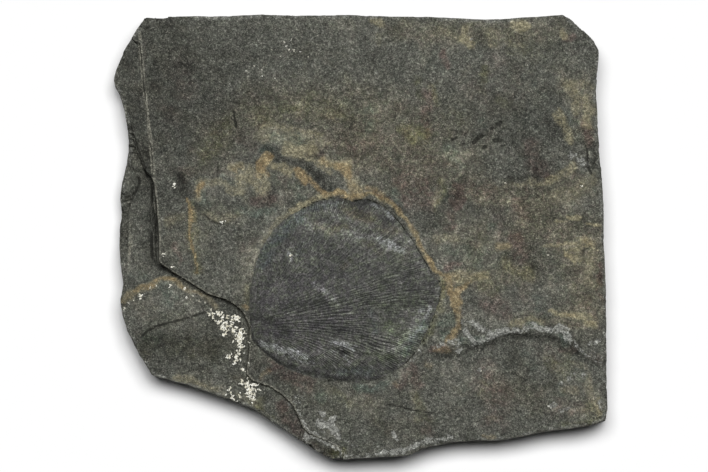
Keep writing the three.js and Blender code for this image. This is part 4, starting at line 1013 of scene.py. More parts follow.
leafRidges = [
    ([(-24.1, -25.5), (-19.5, -27), (-15, -28.2), (-12.5, -29.3)], 0.8, 0.3),
    ([(-7.5, -26), (-2.5, -26.7)], 0.7, 0.16),
    ([(-11.5, -13), (-7.5, -15.5)], 0.9, 0.14),
    ([(7.3, -1.5), (10.4, -3.2)], 0.8, 0.16),
]
leafTints = {
    # Lighter film, and painted highlights along some ridges
    "lift": [
        ([(14, -20.7), (12.1, -24.1), (9.1, -27)], 1.22, 0.9), ([(8.6, -24.6), (5.7, -28)], 1.22, 0.4),
        ([(-24, 1.7), (-25.9, -3.2), (-26.9, -9.3)], 0.49, 0.5),
        ([(7.7, 1.2), (11.1, -1.2), (12.5, -3.7)], 1.1, 0.7), ([(9.1, -26.3), (12.1, -23.6)], 1.1, 0.5),
        ([(13.5, -20.7), (12.1, -23.6)], 0.73, 0.5),
        ([(-18.4, 5.1), (-9.9, 6.3), (-2.6, 5.4)], 1.58, 0.45), ([(-23.5, 3.2), (-25, -3.2)], 1.1, 0.3),
        ([(-14.7, 3.7), (-7.4, 1.7), (-0.1, 2.2), (6, -2.2)], 1.46, 0.55),
        ([(-3.8, -0.7), (2.8, 0.2)], 1.22, 0.35), ([(5.7, -1.5), (10.4, -3.4)], 0.85, 0.8),
        ([(9.6, -5.6), (15.7, -6.1)], 1.1, 0.35), ([(-10.4, -12.2), (-6.5, -14.9)], 0.61, 0.8),
        ([(5.2, -24.1), (10.6, -22.7), (14.5, -19.7)], 1.46, 0.5),
        ([(10.6, -28), (16.4, -20.7)], 1.1, 0.45),
        ([(-24, -26.6), (-20.6, -27.3), (-17.2, -28), (-13.5, -29)], 0.61, 0.9),
        ([(-6.5, -25.6), (-2.1, -26.3)], 0.49, 0.8), ([(-10.4, -27.5), (-2.6, -29)], 1.1, 0.35),
        ([(-3.8, -28), (-2.1, -30.5)], 0.61, 0.4), ([(-14.7, -6.1), (-11.8, -5.1)], 0.49, 0.4),
        ([(-17.7, -4.1), (-16.7, -5.1)], 0.49, 0.7), ([(4.3, 7.8), (7.2, 5.8)], 0.49, 0.6),
        ([(-24, -0.7), (-20.6, 2.7)], 0.61, 0.35), ([(16.9, -17.5), (16.2, -19.7)], 0.41, 0.9),
        ([(-0.1, -4.4), (3.5, -6.1)], 0.85, 0.3),
    ],
    # Darker film, and painted shade in the groove along the leaf's margin
    "deep": [
        ([(-26.4, -19.7), (-20.8, -20.7), (-18.4, -22.7)], 0.73, 0.8),
        ([(-24, -23.1), (-17.2, -23.6)], 0.61, 0.4),
        ([(-19.1, -17.3), (-14.7, -16.1), (-8.6, -16.3)], 0.85, 0.7),
        ([(-14.7, -19.7), (-7.4, -21.7), (-2.6, -22.7)], 0.73, 0.45),
        ([(-5, 8.8), (-2.1, 8.3)], 0.24, 0.6),
        ([(0.9, 8.8), (3.8, 8.8), (6.7, 8), (9.6, 5.8), (12.1, 2.7)], 0.73, 1),
        ([(-2.1, 6.1), (1.1, 5.6)], 0.73, 0.6),
        ([(-26.2, -25.1), (-23, -28), (-19.6, -30.5), (-15.2, -32.2), (-7.4, -34.1), (-2.1, -34.8),
          (4.8, -34.1)], 0.32, 0.8), ([(-9.9, -32.6), (-2.6, -33.4)], 0.73, 0.3),
        ([(-22.1, -29.2), (-14.7, -32.6), (-5, -34.6), (2.3, -34.6)], 0.24, 0.8),
        ([(-26.9, -22.7), (-25.9, -25.1)], 0.49, 0.4), ([(-10.4, -8.5), (-3.8, -9.5)], 1.1, 0.3),
        ([(-17.7, -10.5), (-14.7, -12.9)], 1.1, 0.25), ([(10.8, -11.7), (13.3, -15.4)], 1.1, 0.35),
        ([(-4.5, -28), (-3.3, -28.5)], 0.37, 0.9), ([(-14.7, -0.7), (-13.5, 0.5)], 0.49, 0.3),
        ([(-22.5, -8), (-24, -12.9)], 0.85, 0.3),
    ],
    "purple": [
        ([(-22.5, -15.4), (-14.7, -10.5), (-3.8, -11.7)], 2.19, 0.9),
        ([(-20.8, -22.7), (-12.3, -21.4), (-2.6, -19.7)], 1.95, 0.9),
        ([(-14.7, -27.5), (-5, -26.3)], 1.1, 0.8), ([(-22.1, -5.6), (-18.4, -8)], 1.1, 0.5),
    ],
    "green": [
        ([(14.5, -21.4), (10.6, -27.5)], 1.46, 0.25),
        ([(6.7, -21.4), (10.8, -23.9), (10.1, -27.5)], 1.58, 0.6), ([(2.8, -28), (7.7, -30)], 0.97, 0.7),
        ([(3.8, -16.6), (14.5, -15.4)], 1.46, 0.55), ([(10.8, -8), (15.7, -9.3)], 1.1, 0.3),
        ([(-1.3, -6.8), (-2.1, -10.5)], 0.85, 0.3), ([(4.8, -11.7), (8.4, -6.1)], 1.22, 0.35),
    ],
    "blue": [
        ([(-24, -6.1), (-20.8, -0.7), (-15.5, 4.1)], 1.1, 0.9),
        ([(-14.7, 6.6), (-7.4, 8), (-2.6, 7.8)], 0.73, 0.6), ([(-14.7, -3.2), (-9.9, 0.5)], 1.1, 0.4),
        ([(2.3, -17.8), (3.5, -22.7)], 0.73, 0.5), ([(-5, -32.9), (2.3, -32.9)], 0.73, 0.6),
        ([(15.7, -15.4), (14.5, -17.8)], 0.73, 0.4), ([(10.8, -28), (15.7, -21.4)], 0.85, 0.7),
    ],
    "brown": [
        ([(-3.8, 7.6), (-0.6, 5.6), (2.8, 4.6)], 1.1, 0.9), ([(2.8, 3.7), (8.4, 1.2)], 1.22, 0.5),
        ([(-10.8, 2.9), (-7.4, 1.7), (-3.8, 2.2)], 0.97, 0.6), ([(-4.5, -7.6), (-2.6, -6.1)], 0.61, 0.5),
        ([(4.8, -3.7), (1.1, -1.7)], 0.97, 0.4), ([(12.1, -2.7), (10.6, -6.1)], 0.97, 0.3),
    ],
    # Painted sheen: pale painted highlights on the film
    "paintedSheen": [
        ([(-24, -26.1), (-20.6, -27), (-16.7, -28), (-13.3, -29.2)], 0.61, 0.8),
        ([(-18.2, -28.8), (-11.8, -30.5)], 0.49, 0.5),
        ([(-6.9, -25.3), (-4.5, -26.1), (-1.6, -27)], 0.56, 0.75),
        ([(-7.9, -27.5), (-4.5, -28.5)], 0.49, 0.4),
        ([(4.8, -0.7), (7.2, -1.9), (10.4, -3.4)], 0.61, 0.8),
        ([(-2.1, 0.2), (1.8, -0.2), (4.8, -1)], 0.54, 0.4), ([(3.3, 8), (5.7, 7.1), (7.7, 5.1)], 0.54, 1),
        ([(16.9, -17.5), (16.4, -18.8), (16, -19.7)], 0.32, 1),
        ([(12.5, -24.6), (14.5, -21.7)], 0.61, 0.5), ([(-9.4, 8), (-3.8, 8.3)], 0.37, 0.45),
        ([(-11.3, -11.7), (-8.4, -13.4), (-6, -15.6)], 0.73, 0.4),
        ([(6, -15.4), (9.1, -14.9)], 0.37, 0.3), ([(-17.7, -4.1), (-16.7, -5.1)], 0.37, 0.7),
        ([(-3.8, -29), (-2.6, -30.9)], 0.37, 0.5), ([(-23.5, 0.2), (-21.6, 2.2)], 0.37, 0.3),
    ],
    "clear": [
        ([(-18.4, -20.7), (-9.9, -19.7), (-2.6, -20.7)], 2.92, 1),
        ([(-25.5, -21.7), (-19.6, -20.7)], 1.46, 0.5),
        ([(-17.2, -26.3), (-7.4, -28), (-0.1, -27.5)], 1.95, 0.8),
        ([(-0.1, -15.4), (9.6, -13.4), (15.7, -15.4)], 1.71, 0.75),
        ([(4.8, -12.9), (13.3, -7.6)], 1.22, 0.6),
        ([(2.3, -26.3), (9.6, -27.5), (13.3, -26.3)], 2.19, 0.9), ([(-13.5, 7.1), (-5, 6.1)], 0.97, 0.7),
        ([(2.8, -28), (8.4, -30.5)], 1.22, 0.9), ([(-7.4, -31.2), (-0.1, -31.9)], 0.97, 0.7),
        ([(-12.3, -15.4), (-2.6, -16.6)], 1.1, 0.7),
    ],
}
leafPits = [([(-4, -28.4), (-3.5, -28.8)], 0.35, 0.5), ([(-17.3, -4.9), (-17.1, -4.6)], 0.25, 0.2)]


def leafHeight(x, y, out, veins):
    look = leafLook
    swell = look["swell"] * fractal(x / 7 + 4, y / 6)
    uneven = 0.5 + 0.4 * smooth(fractal(x / 4.4, y / 4.1 + 7), -0.5, 0.5)
    uneven = uneven + 0.4 * strokeMask(leafTints["clear"], x, y)
    ridges, pits = strokeMask(leafRidges, x, y, 0.4), strokeMask(leafPits, x, y)
    fade = (0.4 * smooth(out, 0.02, 0.12) + 0.6 * smooth(out, 0.1, 0.5)) * (1 - 0.35 * smooth(out, 0.93, 1))
    grain = look["grain"] * fractal(x / 0.8, y / 0.8, 2)
    return leafFace(x, y) + swell + ridges - pits + grain + look["veinHeight"] * uneven * fade * (veins - 0.5)


def closeUnderneath(mesh, depth):
    # The wall is made face by face, so that its faces come in the same order each run
    bm = bmesh.new()
    bm.from_mesh(mesh)
    rim = [v for v in bm.verts if v.is_boundary]
    border = [(e, e.link_loops[0].vert) for e in bm.edges if e.is_boundary]
    below = {v: bm.verts.new(v.co, v) for v in rim}
    for edge, start in border:
        end = edge.other_vert(start)
        bm.faces.new((end, start, below[start], below[end]))
    bmesh.ops.translate(bm, verts=list(below.values()), vec=(0, 0, -depth))
    bottom = [e for e in bm.edges if e.is_boundary]
    bmesh.ops.edgeloop_fill(bm, edges=bottom)
    bmesh.ops.recalc_face_normals(bm, faces=bm.faces)
    bm.to_mesh(mesh)
    bm.free()


def buildLeaf():
    look = leafLook
    columns = look["columns"] // 1
    bm = bmesh.new()
    bmesh.ops.create_grid(bm, x_segments=columns, y_segments=look["rows"], size=0.5)
    mesh = bpy.data.meshes.new("leaf_film")
    bm.to_mesh(mesh)
    bm.free()
    grid = readVertices(mesh) * mm
    across, out = np.clip(grid[:, 0] + 0.5, 0, 1), np.clip(grid[:, 1] + 0.5, 0, 1)
    plan = leafPoint(across, out)
    wobble = look["wobble"] * (1.3 - 0.6 * out) * fractal(plan[:, 0] / 2.1, plan[:, 1] / 2.1)
    wander = across + wobble / (look["baseWidth"] + look["spread"] * out)
    away = plan - np.array(leafCentre)
    reach = np.linalg.norm(away, axis=1, keepdims=True)
    atMargin = smooth(np.maximum(np.abs(2 * across - 1), out), 0.96, 1)[:, None]
    x, y = (plan + away / np.maximum(reach, 1e-6) * look["tuck"] * atMargin).T
    veins = veinRelief(np.clip(wander, 0, 1), out)
    height = leafHeight(x, y, out, veins)
    writeVertices(mesh, np.stack([x, y, height], -1))
    for name, strokes in leafTints.items():
        storeMask(mesh, name, strokeMask(strokes, x, y, 0.5))
    storeMask(mesh, "vein", veins)
    storeMask(mesh, "across", across)
    storeMask(mesh, "outward", out)
    storeMask(mesh, "marginDistance", distanceTo(leafOutline, x, y, True))
    closeUnderneath(mesh, look["body"] * mm)
    setSmooth(mesh)
    print("leaf: faces", len(mesh.polygons))
    return newPiece("seed_fern_leaf", mesh)


# White mineral crust: small grains along the broken edge and scattered over the faces

crustLook = {
    "chains": 7,                # short chains of grains for each square millimetre of the crust
    "grains": (1, 6),           # grains in a chain
    "size": (0.08, 0.25),       # mm, smallest and largest grain
    "stride": 1.3,              # from a grain to the next in its chain, in radii
    "wander": 1.5,              # radians, how much a chain turns at each grain
    "besideSpot": 4,            # smaller grains around each spot
    "flatness": 0.5,
    "liftShare": 0.1,           # height of a grain's centre above the stone, in radii
    "dropHeight": 0.05,         # metres, where each grain's fall to the stone starts
    "seed": 11,
}
crustBands = [
    ([(-36.9, -18.6), (-35.5, -19)], 0.41),
    ([(-35, -19.2), (-33.5, -19.7), (-32.8, -20.7)], 0.85),
    ([(-34.2, -21), (-32.8, -22.7), (-33.3, -23.6)], 0.56),
    ([(-32, -21.4), (-30.6, -22.7), (-29.8, -24.1)], 0.8),
    ([(-31.3, -19.2), (-29.8, -20.5), (-30.3, -19)], 0.49),
    ([(-29.4, -22.7), (-28.4, -23.9)], 0.56),
    ([(-29.6, -24.6), (-28.6, -25.8)], 0.9),
    ([(-29.4, -26.6), (-29.6, -28.3)], 0.56),
    ([(-32.5, -29), (-31.1, -29.2), (-29.4, -30)], 0.49),
    ([(-30.8, -30.2), (-30.3, -30.7)], 0.37),
    ([(-28.6, -31.7), (-28.6, -33.1)], 0.24),
    ([(-29.1, -34.8), (-27.7, -35.8), (-26.4, -37.3)], 0.85),
    ([(-27.7, -37.3), (-26.7, -38.7), (-26.2, -40.2)], 0.68),
    ([(-32, -37), (-31.6, -38.7), (-30.3, -40.2)], 0.41),
    ([(-29.4, -37.8), (-29.6, -38.7)], 0.32),
    ([(-25.9, -35.8), (-25.2, -37.8)], 0.29),
]
crustSpots = [
    (-45.4, 12.9, 0.41), (-33.7, 3.7, 0.32), (-48.1, -4.1, 0.27), (-45.9, -7.3, 0.27),
    (-53.7, -14.4, 0.41), (-46.4, -11.7, 0.29), (-43, -12.7, 0.29), (-42.5, -14.6, 0.22),
    (35.2, 13.2, 0.17), (54, 12.4, 0.27), (45.7, -4.4, 0.19), (-17.2, -4.6, 0.29), (45.7, -41.2, 0.17),
    (29.4, -32.6, 0.15), (-57.6, -17.3, 0.22), (-27.2, -30.7, 0.15), (-56.6, -16.1, 0.15),
    (-55.4, -15.4, 0.15), (-39.4, -15.6, 0.17), (-37.9, -16.1, 0.15), (-16.2, 45.3, 0.19),
    (-18.2, 46.5, 0.15), (-20.8, 38.7, 0.12), (-25.9, 41.7, 0.12), (-17.4, 45.6, 0.17),
    (-18.6, 47.5, 0.15), (-16.9, 48, 0.12), (-19.4, 44.1, 0.12), (-24, 40.7, 0.12), (-24, 39.2, 0.12),
    (-14.7, 45.1, 0.11), (-21.6, 45.6, 0.1), (-12.8, 43.9, 0.12), (-27.9, 40.4, 0.11),
    (-10.4, 49, 0.11), (-51.3, -12.4, 0.16), (-49.8, -11.9, 0.15), (-40.8, -14.4, 0.16),
    (-28.4, -28.3, 0.12),
]


def scatterAlong(points, halfWidth, count, draw):
    lengths = [math.dist(a, b) for a, b in zip(points, points[1:])]
    for _ in range(count):
        at = draw.random() * sum(lengths)
        for (a, b), length in zip(zip(points, points[1:]), lengths):
            if at <= length:
                break
            at -= length
        share = min(at / max(length, 1e-6), 1)
        spread = halfWidth * 0.8
        yield (a[0] + (b[0] - a[0]) * share + draw.gauss(0, spread),
               a[1] + (b[1] - a[1]) * share + draw.gauss(0, spread))


def addGrain(bm, place, radius, draw):
    made = bmesh.ops.create_icosphere(bm, subdivisions=1, radius=radius * mm)
    verts = made["verts"]
    for v in verts:
        v.co *= draw.uniform(0.72, 1.2)
    stretch = draw.uniform(0.7, 1.5)
    bmesh.ops.scale(bm, verts=verts, vec=(stretch, 1 / stretch, crustLook["flatness"]))
    turn = Matrix.Rotation(draw.uniform(0, 6.28), 3, "Z") @ Matrix.Rotation(draw.uniform(-0.4, 0.4), 3, "X")
    bmesh.ops.rotate(bm, verts=verts, cent=(0, 0, 0), matrix=turn)
    bmesh.ops.translate(bm, verts=verts, vec=place)


def crustGrains(draw):
    look = crustLook
    small, large = look["size"]
    for points, halfWidth in crustBands:
        length = max(sum(math.dist(a, b) for a, b in zip(points, points[1:])), 2 * halfWidth)
        count = max(1, round(look["chains"] * 1.6 * length * halfWidth))
        for x, y in scatterAlong(points, halfWidth, count, draw):
            heading = draw.uniform(0, 2 * math.pi)
            for _ in range(draw.randint(*look["grains"])):
                radius = draw.triangular(small, large, (small + large) / 2)
                yield x, y, radius
                heading += draw.gauss(0, look["wander"])
                x += look["stride"] * radius * math.cos(heading)
                y += look["stride"] * radius * math.sin(heading)
    for x, y, radius in crustSpots:
        yield x, y, radius
        for _ in range(look["besideSpot"]):
            yield x + draw.gauss(0, radius), y + draw.gauss(0, radius), radius * draw.uniform(0.35, 0.75)


def buildCrust(grounds):
    look = crustLook
    draw = random.Random(look["seed"])
    trees = [BVHTree.FromPolygons([v.co for v in g.data.vertices], [p.vertices for p in g.data.polygons])
             for g in grounds]
    bm = bmesh.new()
    count = 0
    for x, y, radius in crustGrains(draw):
        start, down = Vector((x * mm, y * mm, look["dropHeight"])), Vector((0, 0, -1))
        hits = [h for h in (tree.ray_cast(start, down) for tree in trees) if h[0] is not None]
        if not hits:
            continue
        ground = max(h[0].z for h in hits)
        centre = Vector((x * mm, y * mm, ground + look["liftShare"] * radius * mm))
        addGrain(bm, centre, radius, draw)
        count += 1
    mesh = bpy.data.meshes.new("mineral_crust")
    bm.to_mesh(mesh)
    bm.free()
    setSmooth(mesh)
    print("crust: grains", count, "faces", len(mesh.polygons))
    return newPiece("mineral_crust", mesh)


# Materials

naturalBase = 2.718


def tone(red, green, blue):
    def linear(value):
        share = value / 255
        return share / 12.92 if share <= 0.04045 else ((share + 0.055) / 1.055) ** 2.4
    return (linear(red), linear(green), linear(blue), 1)


def newMaterial(name):
    material = bpy.data.materials.new(name)
    material.use_nodes = True
    material.node_tree.nodes.clear()
    return material, material.node_tree


def addNode(tree, kind, inputs=None, **settings):
    node = tree.nodes.new(kind)
    for key, value in settings.items():
        setattr(node, key, value)
    for key, value in (inputs or {}).items():
        socket = node.inputs[key]
        if isinstance(value, bpy.types.NodeSocket):
            tree.links.new(value, socket)
        else:
            socket.default_value = value
    return node


def sums(tree, operation, a, b=0.0, c=0.0, clamp=False):
    node = addNode(tree, "ShaderNodeMath", {0: a, 1: b, 2: c}, operation=operation, use_clamp=clamp)
    return node.outputs[0]


def times(tree, a, b, clamp=False):
    return sums(tree, "MULTIPLY", a, b, clamp=clamp)


def weighted(tree, value, weight, rest, clamp=False):
    return sums(tree, "MULTIPLY_ADD", value, weight, rest, clamp)


def centred(tree, value):
    return sums(tree, "SUBTRACT", value, 0.5)


def opposite(tree, value):
    return sums(tree, "SUBTRACT", 1.0, value)


def weightedSum(tree, parts):
    (value, weight), *others = parts
    total = times(tree, value, weight)
    for value, weight in others:
        total = weighted(tree, value, weight, total)
    return total


def ease(tree, value, low, high):
    # 0 at low, 1 at high, with a soft change between; low may be the larger of the two
    node = addNode(tree, "ShaderNodeMapRange", {"Value": value, "From Min": low, "From Max": high},
                   interpolation_type="SMOOTHSTEP")
    return node.outputs["Result"]


def blendColour(tree, factor, under, over, how="MIX"):
    node = addNode(tree, "ShaderNodeMix", {0: factor, 6: under, 7: over}, data_type="RGBA", blend_type=how)
    return node.outputs[2]


def tinted(tree, colour, factor, tint):
    return blendColour(tree, factor, colour, tint, "MULTIPLY")


def scaleColour(tree, colour, amount):
    return addNode(tree, "ShaderNodeVectorMath", {0: colour, "Scale": amount}, operation="SCALE").outputs[0]


def toneRamp(tree, level, lowest, highest, between):
    ramp = addNode(tree, "ShaderNodeValToRGB", {0: level})
    stops = ramp.color_ramp.elements
    stops[0].position, stops[0].color = 0.0, lowest
    stops[1].position, stops[1].color = 1.0, highest
    for position, colour in between:
        stops.new(position).color = colour
    return ramp.outputs[0]


def noise(tree, place, scale, detail=3.0, rough=0.6, bend=0.0):
    node = addNode(tree, "ShaderNodeTexNoise", {"Vector": place, "Scale": scale, "Detail": detail,
                                                "Roughness": rough, "Distortion": bend})
    return node.outputs["Fac"]


def stretched(tree, place, scale, turn=0.0):
    node = addNode(tree, "ShaderNodeMapping", {"Vector": place, "Scale": scale, "Rotation": (0, 0, turn)})
    return node.outputs[0]


def mask(tree, name):
    return addNode(tree, "ShaderNodeAttribute", attribute_name=name).outputs["Fac"]


def millimetres(tree):
    place = addNode(tree, "ShaderNodeTexCoord").outputs["Object"]
    return stretched(tree, place, (1 / mm, 1 / mm, 1 / mm))


def makeSurface(tree, colour, rough, height, specular):
    bump = addNode(tree, "ShaderNodeBump", {"Height": height, "Distance": mm, "Strength": 1.0}).outputs[0]
    shader = addNode(tree, "ShaderNodeBsdfPrincipled", {
        "Base Color": colour, "Roughness": rough, "Normal": bump, "Specular IOR Level": specular})
    output = addNode(tree, "ShaderNodeOutputMaterial")
    tree.links.new(shader.outputs[0], output.inputs[0])


def skewed(tree, value, strength):
    # Multiplier around 1: strength sets how far light specks rise over dark ones
    return sums(tree, "POWER", naturalBase, times(tree, centred(tree, value), strength))


def patchy(tree, name, place, scale, strength=1.0, breakUp=3.6):
    # A painted mask made uneven, with a fairly crisp, wandering edge
    coarse = centred(tree, noise(tree, place, scale, 5, 0.62, 0.7))
    fine = centred(tree, noise(tree, place, 1.6, 3, 0.65))
    uneven = weighted(tree, coarse, breakUp, 1.0)
    uneven = weighted(tree, fine, breakUp / 3.6, uneven)
    amount = times(tree, mask(tree, name), sums(tree, "MAXIMUM", uneven, 0.0))
    return times(tree, ease(tree, amount, 0.02, 1.05), strength)


def flakes(tree, place, scale, bend):
    # Small angular scales, each with its own tone from 0 to 1
    wander = addNode(tree, "ShaderNodeTexNoise", {"Vector": place, "Scale": scale * 0.9, "Detail": 2.0})
    moved = addNode(tree, "ShaderNodeVectorMath", {0: wander.outputs["Color"], "Scale": bend},
                    operation="SCALE")
    shifted = addNode(tree, "ShaderNodeVectorMath", {0: place, 1: moved.outputs[0]}, operation="ADD")
    cells = addNode(tree, "ShaderNodeTexVoronoi", {"Vector": shifted.outputs[0], "Scale": scale})
    return addNode(tree, "ShaderNodeSeparateColor", {0: cells.outputs["Color"]}).outputs[0]


def chipped(tree, name, place, scale, low, high):
    # A painted mask with a broken, angular outline
    amount = mask(tree, name)
    coarse = weighted(tree, noise(tree, place, scale, 4, 0.7, 0.4), 2.6, -1.3)
    pieces = weighted(tree, flakes(tree, place, 1.2, 0.4), 0.8, -0.4)
    level = ease(tree, sums(tree, "ADD", amount, sums(tree, "ADD", coarse, pieces)), low, high)
    return times(tree, level, ease(tree, amount, 0.1, 0.4), clamp=True)


def threads(tree, place, scale, width):
    # Thin wandering lines, 1 on the line and 0 away from it
    away = sums(tree, "ABSOLUTE", centred(tree, noise(tree, place, scale, 3, 0.6, 0.8)))
    return opposite(tree, ease(tree, away, 0.0, width))


shaleTones = {
    "gain": 0.75,               # the tones below are as lit, so the surface itself is darker
    "black": tone(46, 46, 42),
    "dark": tone(75, 76, 70),
    "middle": tone(92, 93, 86),
    "light": tone(112, 112, 103),
    "bright": tone(146, 144, 131),
    "warm": (1.08, 1.0, 0.87, 1),
    "olive": (0.99, 1.0, 0.74, 1),
    "mauve": (1.09, 0.88, 0.9, 1),
    "teal": (0.86, 1.0, 0.99, 1),
    "plum": (1.03, 0.95, 1.0, 1),
    "moss": (0.96, 1.03, 0.92, 1),
    "ochre": tone(157, 150, 121),
    "rust": tone(168, 150, 112),
    "rustDeep": tone(146, 125, 90),
    "chalk": tone(162, 163, 157),
    "mica": tone(196, 192, 176),
    # painted shade in cracks and pits
    "crack": tone(34, 34, 30),
}


def splitFaceTone(tree, place):
    # Light and dark tone from broad patches down to patches a few millimetres wide, with lighter stone, and
    # darker stone with painted shade
    tones = shaleTones
    broad = noise(tree, place, 0.045, 3, 0.5)
    patch = noise(tree, place, 0.28, 5, 0.66, 0.7)
    streak = noise(tree, stretched(tree, place, (0.55, 0.16, 0.5), 0.25), 1.0, 4, 0.65, 0.6)
    busy = sums(tree, "ADD", mask(tree, "light"), mask(tree, "warm"))
    uneven = weighted(tree, busy, 0.7, 0.8)
    level = weighted(tree, centred(tree, broad), 0.35, 0.46)
    level = sums(tree, "ADD", level, times(tree, centred(tree, patch), uneven))
    level = sums(tree, "ADD", level, times(tree, centred(tree, streak), 0.5))
    level = sums(tree, "ADD", level, times(tree, mask(tree, "light"), 0.34))
    # Darker stone and painted shade
    level = sums(tree, "SUBTRACT", level, times(tree, mask(tree, "darkStoneAndShade"), 0.4))
    between = [(0.25, tones["dark"]), (0.5, tones["middle"]), (0.75, tones["light"])]
    return toneRamp(tree, level, tones["black"], tones["bright"], between), patch


def shaleHues(tree, place, colour):
    # Faint changes of hue everywhere, then the painted ones
    tones = shaleTones
    wander = ease(tree, noise(tree, place, 0.12, 4, 0.65, 0.5), 0.46, 0.66)
    warmth = weighted(tree, wander, 0.3, mask(tree, "warm"), clamp=True)
    colour = tinted(tree, colour, warmth, tones["warm"])
    hue = noise(tree, place, 0.3, 4, 0.6, 0.5)
    small = noise(tree, place, 0.9, 2, 0.6, 0.4)
    vivid = weighted(tree, mask(tree, "warm"), 0.55, 0.25)
    for field, low, high, name in ((hue, 0.54, 0.76, "mauve"), (hue, 0.46, 0.24, "teal"),
                                   (small, 0.5, 0.62, "plum"), (small, 0.5, 0.38, "moss")):
        colour = tinted(tree, colour, times(tree, ease(tree, field, low, high), vivid), tones[name])
    for name, scale in (("olive", 0.5), ("mauve", 0.45), ("teal", 0.5)):
        colour = tinted(tree, colour, patchy(tree, name, place, scale), tones[name])
    return colour


def mineralStains(tree, place, colour):
    tones = shaleTones
    colour = blendColour(tree, patchy(tree, "ochre", place, 0.8, 0.68, 2.8), colour, tones["ochre"])
    deep = ease(tree, noise(tree, place, 0.8, 3, 0.6), 0.4, 0.62)
    rustTone = blendColour(tree, deep, tones["rust"], tones["rustDeep"])
    colour = blendColour(tree, patchy(tree, "rust", place, 1.0, 0.7, 1.9), colour, rustTone)
    chalk = chipped(tree, "chalk", place, 1.2, 0.52, 0.7)
    return blendColour(tree, times(tree, chalk, 0.66), colour, tones["chalk"]), chalk


def wornEdges(tree, place, colour):
    # Light rims along the broken upper edge and along the slab's outline
    tones = shaleTones
    edge = sums(tree, "ABSOLUTE", sums(tree, "SUBTRACT", mask(tree, "edgeDistance"), 0.2))
    worn = opposite(tree, ease(tree, edge, 0.1, 0.45))
    worn = times(tree, worn, ease(tree, noise(tree, place, 0.6, 3, 0.6), 0.32, 0.52))
    colour = blendColour(tree, times(tree, worn, 0.62), colour, tones["bright"])
    rim = opposite(tree, ease(tree, mask(tree, "rimDistance"), 0.3, 1.1))
    rim = times(tree, rim, ease(tree, noise(tree, place, 0.35, 4, 0.7), 0.46, 0.6))
    return blendColour(tree, times(tree, rim, 0.4), colour, tones["chalk"])


def layeredSides(tree, place, colour, side):
    tones = shaleTones
    layers = noise(tree, stretched(tree, place, (0.05, 0.05, 1.6)), 1.0, 5, 0.7, 0.15)
    sideTone = blendColour(tree, ease(tree, layers, 0.38, 0.62), tones["dark"], tones["light"])
    rusty = ease(tree, noise(tree, stretched(tree, place, (0.08, 0.08, 0.9)), 1.0, 4, 0.6), 0.6, 0.72)
    sideTone = blendColour(tree, times(tree, rusty, 0.5), sideTone, tones["ochre"])
    return blendColour(tree, times(tree, side, 0.75), colour, sideTone), layers


def speckled(tree, place, colour, coarse, grain, scales):
    # Grain, pale and dark threads, then sparse flecks of mica
    film = sums(tree, "ADD", mask(tree, "ochre"), mask(tree, "light"))
    film = sums(tree, "ADD", film, mask(tree, "rust"), clamp=True)
    for field, strength in ((coarse, 2.75), (grain, weighted(tree, film, -2.2, 5.5)), (scales, 0.5)):
        colour = scaleColour(tree, colour, skewed(tree, field, strength))
    broken = ease(tree, noise(tree, place, 1.7, 2, 0.6), 0.44, 0.58)
    thread = times(tree, threads(tree, place, 0.8, 0.035), broken)
    fibre = times(tree, threads(tree, stretched(tree, place, (1, 1, 1), 1.1), 1.2, 0.05), broken)
    gap = threads(tree, stretched(tree, place, (1, 1, 1), 2.3), 1.0, 0.05)
    for lines, change in ((thread, 0.6), (fibre, 0.45), (gap, -0.22)):
        colour = scaleColour(tree, colour, weighted(tree, lines, change, 1.0))
    fleck = ease(tree, noise(tree, place, 3.1, 1, 0.5), 0.68, 0.76)
    return blendColour(tree, times(tree, fleck, 0.55), colour, shaleTones["mica"])


def shaleMaterial():
    tones = shaleTones
    material, tree = newMaterial("dark_shale")
    place = millimetres(tree)
    side = mask(tree, "sideways")
    coarse = noise(tree, place, 1.15, 4, 0.75, 0.3)
    grain = noise(tree, place, 3.0, 3, 0.8)
    scales = flakes(tree, place, 2.3, 0.5)
    colour, patch = splitFaceTone(tree, place)
    colour = shaleHues(tree, place, colour)
    colour, chalk = mineralStains(tree, place, colour)
    colour = wornEdges(tree, place, colour)
    colour, layers = layeredSides(tree, place, colour, side)
    colour = speckled(tree, place, colour, coarse, grain, scales)
    # Cracks and pits painted near black: painted shade in their recesses
    for name, full in (("crack", 0.8), ("pits", 0.7)):
        dark = ease(tree, mask(tree, name), 0.3, full)
        colour = blendColour(tree, times(tree, dark, 0.8), colour, tones["crack"])
    colour = scaleColour(tree, colour, tones["gain"])
    height = weightedSum(tree, [(coarse, 0.3), (grain, 0.16), (patch, 0.3), (times(tree, layers, side), 0.9),
                                (chalk, 0.1), (scales, 0.1)])
    makeSurface(tree, colour, weighted(tree, grain, 0.2, 0.65), height, 0.15)
    return material


leafTones = {
    "gain": 0.73,
    "black": tone(38, 38, 35),
    "film": tone(70, 71, 68),
    "grey": tone(93, 94, 88),
    "pale": tone(134, 136, 130),
    "green": (0.93, 1.03, 0.82, 1),
    "blue": (0.88, 1.0, 1.04, 1),
    "purple": (0.98, 0.95, 1.02, 1),
    "brown": (1.08, 1.0, 0.8, 1),
    "violet": (1.02, 0.96, 1.03, 1),
    "moss": (0.97, 1.03, 0.88, 1),
    # tone of the painted sheen
    "paintedSheen": tone(160, 163, 164),
    # tone of the painted shade along the leaf's margin
    "rim": tone(30, 31, 27),
}


